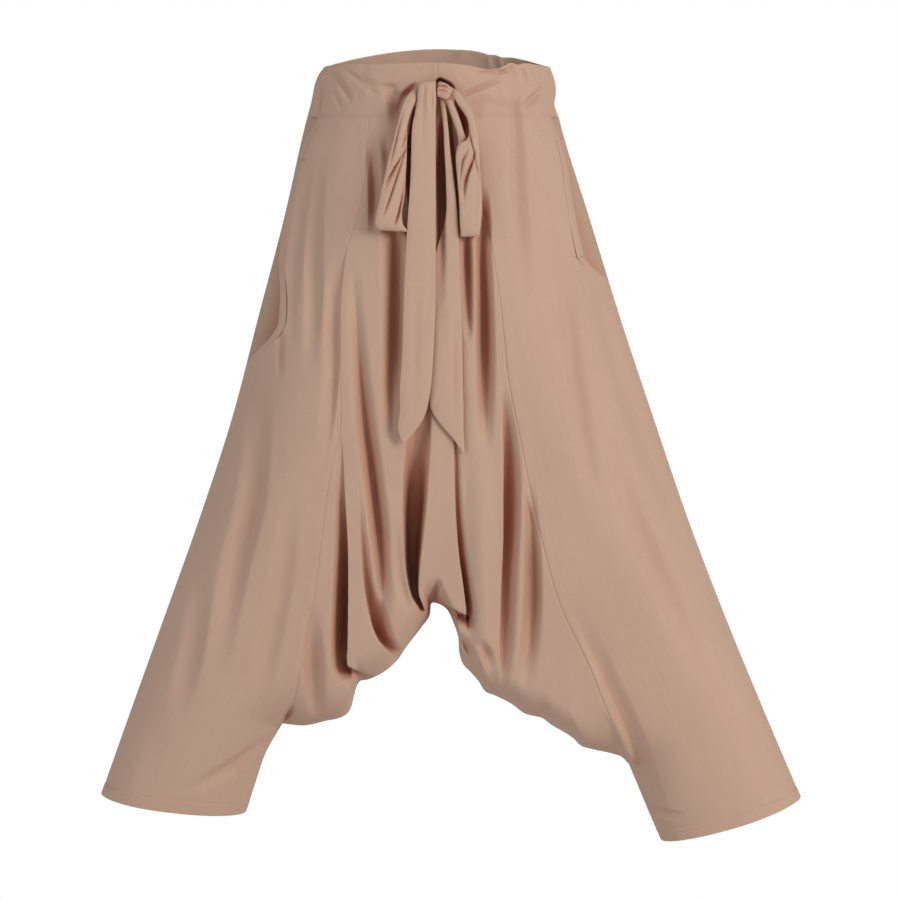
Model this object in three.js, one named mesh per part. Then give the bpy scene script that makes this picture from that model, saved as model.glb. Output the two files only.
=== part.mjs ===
// Harem pants in a light woven cloth, filled out as when worn, with no wearer. Millimetres, +Z up.
// The origin is the centre of the waist, level with the top of the front waistband. The front faces
// -Y and the wearer's left side is at +X. A "drop" is a distance below the origin.
import * as THREE from "three";

// Cloth
const WALL = 1.6; // thickness of one wall of cloth
const HEM_WALL = 2.8; // the hem is turned up, so it is two layers thick
const HEM_TURN = 15; // height of the turned hem
const SEAM_GAP = 0.3; // between pieces that are sewn together
const SEAM_BEVEL = 0.8; // how much further the inner edge stays back at a seam

// Waistband
const BAND_DROP = 66; // lower edge of the waistband
const BACK_RISE = 19; // how far the back of the waist is above the front
const SIDE_DIP = 4; // how far the sides of the waist are below the front
const BAND_FRONT_SEAM = 1; // x of the seam at the centre front
const BAND_SIDE_ANGLE = 76; // degrees round from the centre front to the band's side seam

// Legs and web
const SEAM_ROUND = 80; // width over which the web's lower edge and the inner legs round away
const APRON_ROWS = 20; // rows of the front above the rounded lower edge
const ROUND_ROWS = 6; // rows in that rounded edge
const BACK_APRON_ROWS = 11;
const BACK_ROUND_ROWS = 5;
const LEG_FRONT_COLUMNS = 13;
const LEG_BACK_COLUMNS = 9;
const LEG_FRONT_ROWS = 5; // below the notch where the web meets the leg, and above the turned hem
const LEG_BACK_ROWS = 4;
const HEM_SAG = 3; // how far the middle of a hem hangs below its corners

// The body at each drop: half-width to the wearer's right and left, depth in front and behind, and
// the width over which the side rounds away.
const SECTION = ["drop", "right", "left", "front", "back", "round"];
const SECTIONS = table(SECTION, [
  [0, 141, 139, 101, 106, 138],
  [66, 160, 152, 107, 113, 150],
  [190, 189, 190, 120, 133, 165],
  [315, 222, 229, 125, 141, 160],
  [440, 255, 271, 122, 133, 145],
  [565, 296, 314, 115, 120, 125],
  [690, 341, 362, 102, 104, 108],
  [820, 388, 416, 84, 84, 98],
  [918, 423, 458, 68, 66, 94],
]);

// The long seams between the centre panel and the legs: distance from the centre on each side.
const SEAMS = table(["drop", "right", "left"], [
  [66, 82, 41],
  [165, 90, 56],
  [240, 113, 70],
  [290, 117, 78],
  [385, 117, 88],
  [440, 117, 99],
  [510, 131, 113],
  [590, 142, 131],
  [665, 152, 153],
  [740, 167, 188],
  [790, 178, 208],
  [824, 193, 222],
  [875, 215, 241],
]);

// Each leg: the notch is where the web meets the inner leg, and the hem's corners come last.
const LEGS = {
  right: { side: -1, notch: 824, notchOuter: 806, hemInner: 936, hemOuter: 914, inner: [193, 214, 227, 239] },
  left: { side: 1, notch: 875, notchOuter: 836, hemInner: 972, hemOuter: 918, inner: [241, 252, 264, 282] },
};

// The lower edge of the web between the legs, from the right leg's notch to the left's.
const WEB_EDGE = table(["x", "drop"], [
  [-193, 824],
  [-165, 826],
  [-128, 818],
  [-105, 796],
  [-96, 771],
  [-65, 758],
  [-46, 739],
  [-27, 717],
  [-9, 687],
  [-2, 667],
  [14, 679],
  [27, 702],
  [29, 735],
  [52, 771],
  [80, 793],
  [111, 811],
  [133, 818],
  [155, 835],
  [181, 854],
  [216, 864],
  [241, 875],
]);

// Lines down the centre panel from one long seam to the other, which its columns follow: x at each
// drop, the share of the web's lower edge at which each line ends, and the columns between them.
const GUIDES = table(["drop", "rightSeamPleat", "rightPleat", "lens", "line", "wedge", "leftSeamPleat"], [
  [66, -75, -60, -28, -2, 22, 32],
  [200, -90, -75, -34, 6, 42, 52],
  [320, -106, -92, -29, 12, 62, 72],
  [440, -106, -84, -21, 20, 80, 91],
  [560, -118, -72, -26, 28, 91, 113],
  [680, -117, -66, -22, 37, 84, 119],
  [770, -103, -55, -18, 34, 80, 112],
]);
const GUIDE_NAMES = Object.keys(GUIDES[0]).slice(1);
const GUIDE_ENDS = [0, 0.18, 0.275, 0.37, 0.56, 0.7, 0.775, 1];
const GUIDE_COLUMNS = [5, 7, 7, 7, 8, 5, 6];

// The pockets are openings in the side seams. The front edge of each gapes and stands forward.
const POCKET_LIFT = 3.5; // how far the front edge stands out
const POCKET_LIFT_WIDTH = 28; // width over which it does
const POCKET_TUCK = 16; // how far the facing reaches in behind the front edge
const POCKETS = {
  right: { end: 333, edge: [[66, 141], [106, 156], [166, 165], [215, 178], [276, 187], [333, 192]] },
  left: { end: 245, edge: [[66, 142], [87, 149], [124, 158], [166, 165], [209, 173], [245, 181]] },
};

// Folds. Each is a line of points, and each point has its depth (less than 0 for a ridge) and the
// fold's half-widths towards the wearer's right and left.
const FOLD = ["x", "drop", "depth", "right", "left"];
const FRONT_FOLDS = folds({
  underRightLoop: [[-55, 190, 0, 10, 10], [-55, 250, 11, 14, 14],
    [-56, 350, 15, 15, 14], [-55, 460, 0, 10, 10]],
  rightPleat: [[-103, 262, 0, 6, 6], [-94, 361, 7, 7, 8], [-79, 496, 11, 9, 9],
    [-70, 610, 18, 11, 13], [-68, 668, 22, 11, 15], [-52, 728, 0, 10, 12]],
  rightSeamPleat: [[-104, 425, 0, 6, 8], [-114, 500, 16, 8, 11], [-118, 560, 26, 10, 12],
    [-118, 650, 28, 10, 12], [-114, 725, 22, 8, 10], [-102, 765, 0, 8, 8]],
  rightTongue: [[-98, 430, 0, 14, 14], [-97, 560, -5, 12, 16], [-88, 670, -7, 12, 16], [-82, 745, 0, 12, 12]],
  rightLowSoft: [[-155, 690, 0, 12, 12], [-155, 750, 9, 14, 14], [-152, 800, 0, 10, 10]],
  middleLens: [[-20, 425, 0, 10, 10], [-25, 490, 24, 15, 15], [-26, 560, 28, 14, 15],
    [-27, 615, 22, 11, 12], [-21, 672, 0, 8, 8]],
  middleTongue: [[4, 450, 0, 16, 16], [5, 560, -5, 18, 18], [6, 640, -6, 18, 18], [4, 672, 0, 12, 12]],
  middleLine: [[20, 440, 0, 8, 8], [25, 530, 14, 8, 9], [33, 606, 16, 8, 10], [36, 672, 0, 8, 8]],
  leftRoll: [[50, 430, 0, 18, 18], [56, 560, -6, 22, 22], [58, 690, -8, 22, 22], [58, 760, 0, 14, 14]],
  underTails: [[56, 190, 0, 11, 11], [57, 320, 10, 13, 13], [59, 470, 0, 10, 10]],
  leftWedge: [[82, 380, 0, 8, 8], [91, 483, 24, 9, 15], [91, 560, 28, 9, 16],
    [87, 640, 22, 8, 13], [81, 725, 0, 8, 8]],
  leftPleatRidge: [[107, 470, 0, 10, 10], [105, 600, -5, 12, 9], [99, 720, -5, 14, 9], [84, 770, 0, 12, 12]],
  leftSeamPleat: [[113, 520, 0, 7, 7], [119, 606, 16, 8, 8], [119, 680, 17, 9, 8], [109, 765, 0, 8, 8]],
  leftLegLong: [[190, 235, 0, 24, 18], [224, 343, 6, 28, 22], [261, 459, 7, 26, 26], [330, 625, 0, 24, 24]],
  leftLegInner: [[163, 210, 0, 14, 14], [164, 312, 5, 15, 15], [180, 447, 6, 16, 16], [192, 530, 0, 14, 14]],
  leftLegLow: [[215, 460, 0, 18, 18], [245, 560, 6, 20, 20], [285, 650, 6, 20, 20], [330, 760, 0, 18, 18]],
  leftLegSeam: [[200, 745, 0, 10, 10], [232, 820, 8, 12, 14], [262, 900, 6, 10, 12], [275, 935, 0, 8, 8]],
  rightLegLong: [[-217, 380, 0, 20, 20], [-224, 520, 8, 22, 20],
    [-247, 620, 8, 22, 20], [-278, 780, 0, 20, 20]],
  rightLegOuter: [[-285, 620, 0, 18, 18], [-302, 720, 5, 20, 20], [-325, 810, 0, 18, 18]],
  rightCuff: [[-206, 826, 0, 10, 10], [-236, 852, 9, 11, 11], [-272, 879, 7, 11, 11], [-312, 905, 0, 10, 10]],
});
const BACK_FOLDS = folds({
  rightDeep: [[-100, 380, 0, 8, 10], [-114, 520, 14, 10, 14],
    [-117, 660, 22, 11, 14], [-104, 760, 0, 10, 10]],
  rightSoft: [[-96, 330, 0, 12, 12], [-80, 480, 10, 14, 14], [-67, 640, 16, 14, 14], [-56, 735, 0, 10, 10]],
  middleRight: [[-24, 380, 0, 12, 12], [-25, 520, 16, 15, 15], [-24, 620, 18, 13, 13], [-20, 685, 0, 9, 9]],
  middleLeft: [[12, 320, 0, 12, 12], [23, 480, 13, 14, 14], [33, 620, 16, 13, 13], [36, 705, 0, 9, 9]],
  leftDeep: [[76, 360, 0, 11, 11], [90, 500, 18, 14, 14], [89, 630, 22, 14, 14], [81, 750, 0, 10, 10]],
  leftSoft: [[110, 460, 0, 10, 10], [117, 580, 10, 12, 13], [118, 680, 13, 12, 13], [112, 780, 0, 10, 10]],
  leftLegLong: [[190, 300, 0, 22, 22], [230, 460, 7, 26, 26], [300, 640, 7, 26, 26], [350, 780, 0, 22, 22]],
  rightLegLong: [[-180, 300, 0, 22, 22], [-215, 460, 7, 26, 26],
    [-265, 640, 7, 26, 26], [-310, 780, 0, 22, 22]],
});

// The tie: a flat belt that hangs from the knot, with its free ends.
const TIE_WALL = 1.6;
const TIE_BOW = 1.2; // how far the middle of the tie stands out from its edges
const KNOT = { x: 11, drop: 35, wide: 19, deep: 15, tall: 20 };
const TIE = ["drop", "right", "left", "lift"];
const FRONT_TAIL = table(TIE, [
  [27, -21, 1.2, 9],
  [50, -25, 1, 8],
  [110, -30, 0, 7],
  [200, -35, 0, 7],
  [290, -39, 0, 7],
  [360, -42, -2, 7],
  [425, -45, -8, 7],
]);
const FRONT_TAIL_TIP = { x: -40, drop: 461 };
const BACK_TAIL = table(TIE, [
  [43.6, 2, 11, 3],
  [93, -4, 16, 3],
  [142, -6, 22, 3],
  [200, -7, 27, 3],
  [290, -8, 31, 3],
  [360, -8, 33, 3],
  [415, -9, 34, 3],
]);
const BACK_TAIL_TIP = { x: 35, drop: 476 };
const LOOP_OPENING = 5; // from the front layer of a loop to its back layer
const LOOPS = {
  right: table(TIE, [
    [38, -41, -23.4, 8],
    [60, -46, -28, 9],
    [90, -51, -33, 10],
    [125, -61, -36, 10],
    [165, -69, -39, 10],
    [196, -73, -40, 9],
  ]),
  left: table(TIE, [
    [35, 20.8, 31, 8],
    [65, 25, 38, 9],
    [95, 29, 46, 10],
    [130, 29, 54, 10],
    [165, 30, 57, 10],
    [205, 31, 55, 9],
  ]),
};

// Colours
const BODY_COLOUR = 0xc2a08c;
const SHADE_COLOUR = 0xa68370;

function table(columns, rows) {
  return rows.map((row) => Object.fromEntries(columns.map((name, i) => [name, row[i]])));
}

function folds(lines) {
  return Object.values(lines).map((rows) => foldLine(table(FOLD, rows)));
}

// A smooth value through the rows of a table: `column` where `key` has the value `at`. Before the
// first row and after the last it goes on in a straight line.
function smooth(rows, key, column, at) {
  const last = rows.length - 1;
  const slope = (k) => (rows[k + 1][column] - rows[k][column]) / (rows[k + 1][key] - rows[k][key]);
  if (at <= rows[0][key]) return rows[0][column] + slope(0) * (at - rows[0][key]);
  if (at >= rows[last][key]) return rows[last][column] + slope(last - 1) * (at - rows[last][key]);
  let i = 0;
  while (at > rows[i + 1][key]) i++;
  const tangent = (k) => {
    if (k === 0) return slope(0);
    if (k === last) return slope(last - 1);
    const before = rows[k][key] - rows[k - 1][key];
    const after = rows[k + 1][key] - rows[k][key];
    return (slope(k - 1) * after + slope(k) * before) / (before + after);
  };
  const step = rows[i + 1][key] - rows[i][key];
  const t = (at - rows[i][key]) / step;
  const [t2, t3] = [t * t, t * t * t];
  return (
    (2 * t3 - 3 * t2 + 1) * rows[i][column] +
    (t3 - 2 * t2 + t) * step * tangent(i) +
    (3 * t2 - 2 * t3) * rows[i + 1][column] +
    (t3 - t2) * step * tangent(i + 1)
  );
}

function mix(a, b, t) {
  return a + (b - a) * t;
}

function ramp(t) {
  const c = Math.min(1, Math.max(0, t));
  return c * c * (3 - 2 * c);
}

function sideName(x) {
  return x < 0 ? "right" : "left";
}

function range(count) {
  return Array.from({ length: count }, (_, i) => i);
}

// The height of a quarter ellipse at `distance` in from its edge, from 0 to 1.
function rounded(distance, radius) {
  const inward = Math.min(1, Math.max(0, distance / radius));
  return Math.sqrt(1 - (1 - inward) ** 2);
}

// Samples of a fold's line, close enough together to measure a distance from it.
function foldLine(rows) {
  const steps = 6;
  const numbered = rows.map((row, i) => ({ ...row, i }));
  return range((rows.length - 1) * steps + 1).map((k) => {
    const at = k / steps;
    return Object.fromEntries(FOLD.map((name) => [name, smooth(numbered, "i", name, at)]));
  });
}

// How far a fold takes the cloth in at one place.
function foldDepth(line, x, drop) {
  let best = { away: Infinity, depth: 0 };
  for (let i = 0; i + 1 < line.length; i++) {
    const [a, b] = [line[i], line[i + 1]];
    const [dx, dd] = [b.x - a.x, b.drop - a.drop];
    const long = Math.hypot(dx, dd);
    const along = ((x - a.x) * dx + (drop - a.drop) * dd) / long ** 2;
    const t = Math.min(1, Math.max(0, along));
    const away = Math.hypot(x - a.x - t * dx, drop - a.drop - t * dd);
    if (away >= best.away) continue;
    const toLeft = dd * (x - a.x) - dx * (drop - a.drop) > 0;
    const wide = toLeft ? mix(a.left, b.left, t) : mix(a.right, b.right, t);
    const u = Math.min(1, away / wide);
    best = { away, depth: mix(a.depth, b.depth, t) * (1 - u * u) ** 2 };
  }
  return best.depth;
}

// The surface of the cloth at x and drop, in front ("front") or behind ("back"). `inner` is the
// distance in from the web's lower edge or the inner leg, and `lift` is an extra height. The point
// also holds `outward`, the direction that both pieces at a seam use for their thickness.
function clothPoint(face, x, drop, inner, lift = 0) {
  const wide = smooth(SECTIONS, "drop", sideName(x), drop);
  const deep = smooth(SECTIONS, "drop", face, drop);
  const radius = smooth(SECTIONS, "drop", "round", drop);
  const edge = wide - Math.abs(x);
  const forward = face === "front" ? -1 : 1;
  const y = forward * deep * rounded(edge, radius) * rounded(inner, SEAM_ROUND);
  const lean = Math.max(0, 1 - edge / radius) / radius;
  const flat = (forward * rounded(edge, radius)) / deep;
  const normal = new THREE.Vector2(Math.sign(x) * lean, flat).normalize();
  const lines = face === "front" ? FRONT_FOLDS : BACK_FOLDS;
  const depth = lines.reduce((sum, line) => sum + foldDepth(line, x, drop), 0);
  const out = lift - depth * ramp(edge / 20) * ramp(inner / 30);
  const point = new THREE.Vector3(x + normal.x * out, y + normal.y * out, -drop);
  const under = Math.max(0, 1 - inner / SEAM_ROUND) / SEAM_ROUND;
  const sideways = Math.sign(x) * (lean - under * Math.SQRT1_2);
  point.outward = new THREE.Vector3(sideways, flat * rounded(inner, SEAM_ROUND), -under * Math.SQRT1_2);
  point.outward.normalize();
  return point;
}

// A closed wall of cloth on a grid of points: rows run down the front (and up the back), and columns
// run from the wearer's right to left seen from in front. `turned` says that the grid faces the other
// way. Edges named in `seams` stay back by half of the gap.
function clothSolid(name, colour, grid, { turned = false, seams = [], thickness = () => WALL }) {
  const [rows, columns] = [grid.length, grid[0].length];
  const at = (r, c) => grid[Math.min(rows - 1, Math.max(0, r))][Math.min(columns - 1, Math.max(0, c))];
  const outer = [];
  const inner = [];
  for (let r = 0; r < rows; r++) {
    for (let c = 0; c < columns; c++) {
      const down = at(r + 1, c).clone().sub(at(r - 1, c));
      const across = at(r, c + 1).clone().sub(at(r, c - 1));
      let normal = down.cross(across).normalize();
      if (turned) normal.negate();
      const back = new THREE.Vector3();
      const away = (r2, c2) => back.add(at(r2, c2).clone().sub(at(r, c)).normalize());
      if (c === 0 && seams.includes("first")) away(r, 1);
      if (c === columns - 1 && seams.includes("last")) away(r, c - 1);
      if (r === 0 && seams.includes("top")) away(1, c);
      if (r === rows - 1 && seams.includes("end")) away(r - 1, c);
      if (back.lengthSq() > 0) normal = at(r, c).outward;
      const outside = at(r, c).clone().addScaledVector(back, SEAM_GAP / 2);
      const inside = outside.clone().addScaledVector(back, SEAM_BEVEL);
      outer.push(outside);
      inner.push(inside.addScaledVector(normal, -thickness(r, c)));
    }
  }
  const points = [...outer, ...inner];
  const index = [];
  const quad = (a, b, c, d) => (turned ? index.push(a, c, b, a, d, c) : index.push(a, b, c, a, c, d));
  const o = (r, c) => r * columns + c;
  const i = (r, c) => rows * columns + r * columns + c;
  for (let r = 0; r + 1 < rows; r++) {
    for (let c = 0; c + 1 < columns; c++) {
      quad(o(r, c), o(r + 1, c), o(r + 1, c + 1), o(r, c + 1));
      quad(i(r, c), i(r, c + 1), i(r + 1, c + 1), i(r + 1, c));
    }
    quad(o(r, 0), i(r, 0), i(r + 1, 0), o(r + 1, 0));
    quad(o(r, columns - 1), o(r + 1, columns - 1), i(r + 1, columns - 1), i(r, columns - 1));
  }
  for (let c = 0; c + 1 < columns; c++) {
    quad(o(0, c), o(0, c + 1), i(0, c + 1), i(0, c));
    quad(o(rows - 1, c), i(rows - 1, c), i(rows - 1, c + 1), o(rows - 1, c + 1));
  }
  const geometry = new THREE.BufferGeometry();
  geometry.setAttribute("position", new THREE.Float32BufferAttribute(points.flatMap((p) => p.toArray()), 3));
  geometry.setIndex(index);
  geometry.computeVertexNormals();
  return meshOf(name, geometry, colour);
}

function meshOf(name, geometry, colour) {
  const material = new THREE.MeshStandardMaterial({ color: colour, roughness: 0.9, metalness: 0 });
  const mesh = new THREE.Mesh(geometry, material);
  mesh.name = name;
  return mesh;
}

// How far down the seam each row is, from 0 at the waistband to 1 at the notch. Rows crowd together
// where the lower edge rounds away, and there is a row on each side of a pocket's end.
function seamRows(apron, round, pocketEnds = []) {
  const roundShare = SEAM_ROUND / (850 - BAND_DROP);
  const rows = range(apron).map((k) => (k / apron) * (1 - roundShare));
  for (const k of range(round + 1)) rows.push(1 - roundShare * (1 - Math.sin((k / round) * (Math.PI / 2))));
  const spacing = (1 - roundShare) / apron;
  for (const v of pocketEnds) {
    const near = rows.findIndex((row) => Math.abs(row - v) <= spacing / 2);
    rows.splice(near, 1, v - 0.003, v + 0.003);
  }
  return rows.sort((a, b) => a - b);
}
const pocketRow = (name) => (POCKETS[name].end - BAND_DROP) / (LEGS[name].notch - BAND_DROP);
const FRONT_ROWS = seamRows(APRON_ROWS, ROUND_ROWS, [pocketRow("right"), pocketRow("left")]);
const BACK_ROWS = seamRows(BACK_APRON_ROWS, BACK_ROUND_ROWS);

// The web's lower edge as a curve from one notch (0) to the other (1), by its length.
const WEB_CURVE = (() => {
  let length = 0;
  const rows = WEB_EDGE.map((row, i) => {
    if (i > 0) length += Math.hypot(row.x - WEB_EDGE[i - 1].x, row.drop - WEB_EDGE[i - 1].drop);
    return { ...row, length };
  });
  return rows.map((row) => ({ ...row, u: row.length / length }));
})();

// The x of the line at `guide` (0 is the right seam) on the centre panel.
function guideX(guide, drop) {
  if (guide === 0) return -smooth(SEAMS, "drop", "right", drop);
  if (guide > GUIDE_NAMES.length) return smooth(SEAMS, "drop", "left", drop);
  return smooth(GUIDES, "drop", GUIDE_NAMES[guide - 1], drop);
}

// A place on the centre panel: `t` of the way from one guide to the next, v down to the lower edge.
function centrePlace(guide, t, v) {
  const share = mix(GUIDE_ENDS[guide], GUIDE_ENDS[guide + 1], t);
  const [endX, endDrop] = ["x", "drop"].map((name) => smooth(WEB_CURVE, "u", name, share));
  const drop = mix(BAND_DROP, endDrop, v);
  const lineX = (at) => mix(guideX(guide, at), guideX(guide + 1, at), t);
  const bend = (endX - lineX(endDrop)) * ramp((v - 0.6) / 0.4);
  return { x: lineX(drop) + bend, drop, inner: endDrop - drop };
}

function centrePanel() {
  const columns = GUIDE_COLUMNS.flatMap((count, guide) => range(count).map((k) => [guide, k / count]));
  columns.push([GUIDE_COLUMNS.length - 1, 1]);
  const row = (face, v) =>
    columns.map(([guide, t]) => {
      const place = centrePlace(guide, t, v);
      return clothPoint(face, place.x, place.drop, place.inner);
    });
  const front = FRONT_ROWS.map((v) => row("front", v));
  const back = BACK_ROWS.slice(0, -1).reverse().map((v) => row("back", v));
  const seams = ["first", "last", "top", "end"];
  return clothSolid("centre_panel", BODY_COLOUR, [...front, ...back], { seams });
}

// A row of a leg panel. v goes from 0 at the waistband to 1 at the notch and 2 at the hem.
function legRow(name, v) {
  const leg = LEGS[name];
  const below = Math.max(0, v - 1);
  const above = Math.min(1, v);
  const innerLeg = leg.inner.map((x, i) => ({ x, at: i / (leg.inner.length - 1) }));
  const innerDrop = mix(mix(BAND_DROP, leg.notch, above), leg.hemInner, below);
  const outerDrop = mix(mix(BAND_DROP, leg.notchOuter, above), leg.hemOuter, below);
  const innerX = below > 0 ? smooth(innerLeg, "at", "x", below) : smooth(SEAMS, "drop", name, innerDrop);
  const outerX = smooth(SECTIONS, "drop", name, outerDrop);
  return {
    side: leg.side,
    inner: { x: innerX, drop: innerDrop },
    outer: { x: outerX, drop: outerDrop },
    above: Math.max(0, leg.notch - innerDrop),
    below,
  };
}

// Where the front of a leg ends at its outer side: short of the side seam along the pocket.
function frontShare(name, row) {
  const pocket = POCKETS[name];
  if (row.outer.drop > pocket.end) return 1;
  const edge = pocket.edge.map(([drop, x]) => ({ drop, x }));
  const x = smooth(edge, "drop", "x", row.outer.drop);
  return Math.min(1, (x - row.inner.x) / (row.outer.x - row.inner.x));
}

// A place on a leg row, `share` of the way from its inner end to its outer end.
function legPlace(row, share) {
  const sag = HEM_SAG * row.below * 4 * share * (1 - share);
  const x = mix(row.inner.x, row.outer.x, share);
  const drop = mix(row.inner.drop, row.outer.drop, share) + sag;
  return { x: row.side * x, drop, inner: row.above + share * (row.outer.x - row.inner.x) };
}

function legRows(name, seam, count) {
  const turn = HEM_TURN / (LEGS[name].hemInner - LEGS[name].notch);
  const lower = range(count).map((k) => 1 + ((k + 1) / count) * (1 - turn));
  return [...seam, ...lower, 2].map((v) => legRow(name, v));
}

// Columns crowd together towards an edge where the cloth rounds away.
function columnShare(k, row) {
  const outerOnly = 1 - (1 - k) ** 1.7;
  const bothEnds = (1 - Math.cos(Math.PI * k)) / 2;
  return mix(outerOnly, bothEnds, ramp(1 - row.above / SEAM_ROUND));
}

function legPanel(name, face) {
  const isFront = face === "front";
  const columns = isFront ? LEG_FRONT_COLUMNS : LEG_BACK_COLUMNS;
  const seam = isFront ? FRONT_ROWS : BACK_ROWS;
  const rows = legRows(name, seam, isFront ? LEG_FRONT_ROWS : LEG_BACK_ROWS);
  const grid = rows.map((row) => {
    const end = isFront ? frontShare(name, row) : 1;
    return range(columns + 1).map((c) => {
      const full = columnShare(c / columns, row);
      const share = end < 1 ? mix(full, c / columns, 0.5) * end : full;
      const place = legPlace(row, share);
      const fromEdge = (end - share) * (row.outer.x - row.inner.x);
      const gape = ramp(1 - fromEdge / POCKET_LIFT_WIDTH) * ramp((row.outer.drop - BAND_DROP) / 40);
      return clothPoint(face, place.x, place.drop, place.inner, end < 1 ? POCKET_LIFT * gape : 0);
    });
  });
  const mirrored = (LEGS[name].side < 0) !== !isFront;
  return clothSolid(`leg_${face}_${name}`, BODY_COLOUR, grid, {
    turned: mirrored,
    seams: ["first", "last", "top"],
    thickness: (r) => (r >= rows.length - 2 ? HEM_WALL : WALL),
  });
}

// The strip that shows behind the gaping pocket: from behind the front edge to the side seam.
function pocketFacing(name) {
  const pocket = POCKETS[name];
  const columns = 5;
  const last = (pocket.end - BAND_DROP - 2) / (LEGS[name].notch - BAND_DROP);
  const count = 9;
  const grid = range(count + 1).map((k) => {
    const row = legRow(name, (k / count) * last);
    const wide = row.outer.x - row.inner.x;
    const start = frontShare(name, row) - POCKET_TUCK / wide;
    return range(columns + 1).map((c) => {
      const t = c / columns;
      const place = legPlace(row, mix(start, 1, 1 - (1 - t) ** 1.6));
      const behind = -(WALL + SEAM_GAP) * ramp((1 - t) / 0.45);
      return clothPoint("front", place.x, place.drop, place.inner, behind);
    });
  });
  return clothSolid(`pocket_facing_${name}`, SHADE_COLOUR, grid, {
    turned: LEGS[name].side < 0,
    seams: ["last", "top"],
  });
}

// The waistband: a ring in three pieces, from one angle round from the centre front to another.
function bandPiece(name, from, to, columns) {
  const radians = THREE.MathUtils.degToRad;
  const rows = 4;
  const grid = range(rows + 1).map((r) =>
    range(columns + 1).map((c) => {
      const angle = radians(mix(from, to, c / columns));
      const face = Math.cos(angle) >= 0 ? "front" : "back";
      const rise = face === "front" ? 0 : BACK_RISE;
      const top = SIDE_DIP - (SIDE_DIP + rise) * Math.cos(angle) ** 2;
      const drop = mix(top, BAND_DROP, r / rows);
      const wide = smooth(SECTIONS, "drop", sideName(Math.sin(angle)), drop);
      return clothPoint(face, wide * Math.sin(angle), drop, Infinity);
    }),
  );
  return clothSolid(name, BODY_COLOUR, grid, { seams: ["first", "last", "end"] });
}

// A stretch of the tie in front of the cloth. Its two edges are given, and its middle stands out.
function tieRow(row, columns, extra = 0) {
  return range(columns + 1).map((c) => {
    const t = c / columns;
    const x = mix(row.right, row.left, t);
    const deep = smooth(SECTIONS, "drop", "front", row.drop) + row.lift + extra + TIE_BOW * 4 * t * (1 - t);
    return new THREE.Vector3(x, -deep, -row.drop);
  });
}

function tieTail(name, rows, tip, tipSide) {
  const columns = 4;
  const steps = 12;
  const last = rows[rows.length - 1];
  const grid = range(steps + 1).map((k) => {
    const drop = mix(rows[0].drop, last.drop, k / steps);
    const at = (column) => smooth(rows, "drop", column, drop);
    return tieRow({ drop, right: at("right"), left: at("left"), lift: at("lift") }, columns);
  });
  const slant = grid[steps].map((p, c) => {
    const t = tipSide === "left" ? c / columns : 1 - c / columns;
    const end = p.clone();
    end.z = -mix(last.drop + 8, tip.drop, t);
    end.x = mix(p.x, p.x + (tipSide === "left" ? 1 : -1), t);
    return end;
  });
  return clothSolid(name, BODY_COLOUR, [...grid, slant], { thickness: () => TIE_WALL });
}

// A loop of the bow hangs down in two layers, joined by a round turn at the bottom.
function tieLoop(name, rows) {
  const columns = 4;
  const steps = 9;
  const turnSteps = 4;
  const last = rows[rows.length - 1];
  const layer = (k, extra) => {
    const drop = mix(rows[0].drop, last.drop, k / steps);
    const at = (column) => smooth(rows, "drop", column, drop);
    return tieRow({ drop, right: at("right"), left: at("left"), lift: at("lift") }, columns, extra);
  };
  const front = range(steps + 1).map((k) => layer(k, 0));
  const back = range(steps + 1).map((k) => layer(steps - k, -LOOP_OPENING));
  const turn = range(turnSteps - 1).map((k) => {
    const angle = ((k + 1) / turnSteps) * Math.PI;
    return front[steps].map((p) => {
      const end = p.clone();
      end.y += (LOOP_OPENING / 2) * (1 - Math.cos(angle));
      end.z -= (LOOP_OPENING / 2) * Math.sin(angle);
      return end;
    });
  });
  return clothSolid(name, BODY_COLOUR, [...front, ...turn, ...back], { thickness: () => TIE_WALL });
}

function tieKnot() {
  const geometry = new THREE.SphereGeometry(0.5, 16, 12);
  geometry.deleteAttribute("uv");
  const knot = meshOf("tie_knot", geometry, BODY_COLOUR);
  const surface = smooth(SECTIONS, "drop", "front", KNOT.drop);
  knot.scale.set(KNOT.wide, KNOT.deep, KNOT.tall);
  knot.position.set(KNOT.x, -(surface + KNOT.deep / 2 + SEAM_GAP), -KNOT.drop);
  return knot;
}

const frontSeamAngle = THREE.MathUtils.radToDeg(Math.asin(BAND_FRONT_SEAM / SECTIONS[0].left));
const pants = new THREE.Group();
pants.name = "harem_pants";
pants.add(bandPiece("waistband_front_right", -BAND_SIDE_ANGLE, frontSeamAngle, 14));
pants.add(bandPiece("waistband_front_left", frontSeamAngle, BAND_SIDE_ANGLE, 14));
pants.add(bandPiece("waistband_back", BAND_SIDE_ANGLE, 360 - BAND_SIDE_ANGLE, 26));
pants.add(centrePanel());
for (const name of ["right", "left"]) {
  pants.add(legPanel(name, "front"));
  pants.add(legPanel(name, "back"));
  pants.add(pocketFacing(name));
}
pants.add(tieKnot());
pants.add(tieLoop("tie_loop_right", LOOPS.right));
pants.add(tieLoop("tie_loop_left", LOOPS.left));
pants.add(tieTail("tie_tail_front", FRONT_TAIL, FRONT_TAIL_TIP, "right"));
pants.add(tieTail("tie_tail_back", BACK_TAIL, BACK_TAIL_TIP, "left"));

export default pants;
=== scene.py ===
# %% [markdown]
# # Dressing a pair of harem pants
#
# The frame is a plain model of the garment at its real size: a waistband, four leg panels, one long
# centre panel that hangs between the legs, two pocket facings and a tie bow. This lesson makes the
# cloth itself around that frame: fine shells with soft folds, seams, stitches and a woven finish.
#
# Everything is worked out in millimetres and turned to metres when a mesh is made. The origin is the
# centre of the waist, level with the top of the front waistband. The front faces -Y, the wearer's
# left is at +X, and a "drop" is a distance below the origin.

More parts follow.
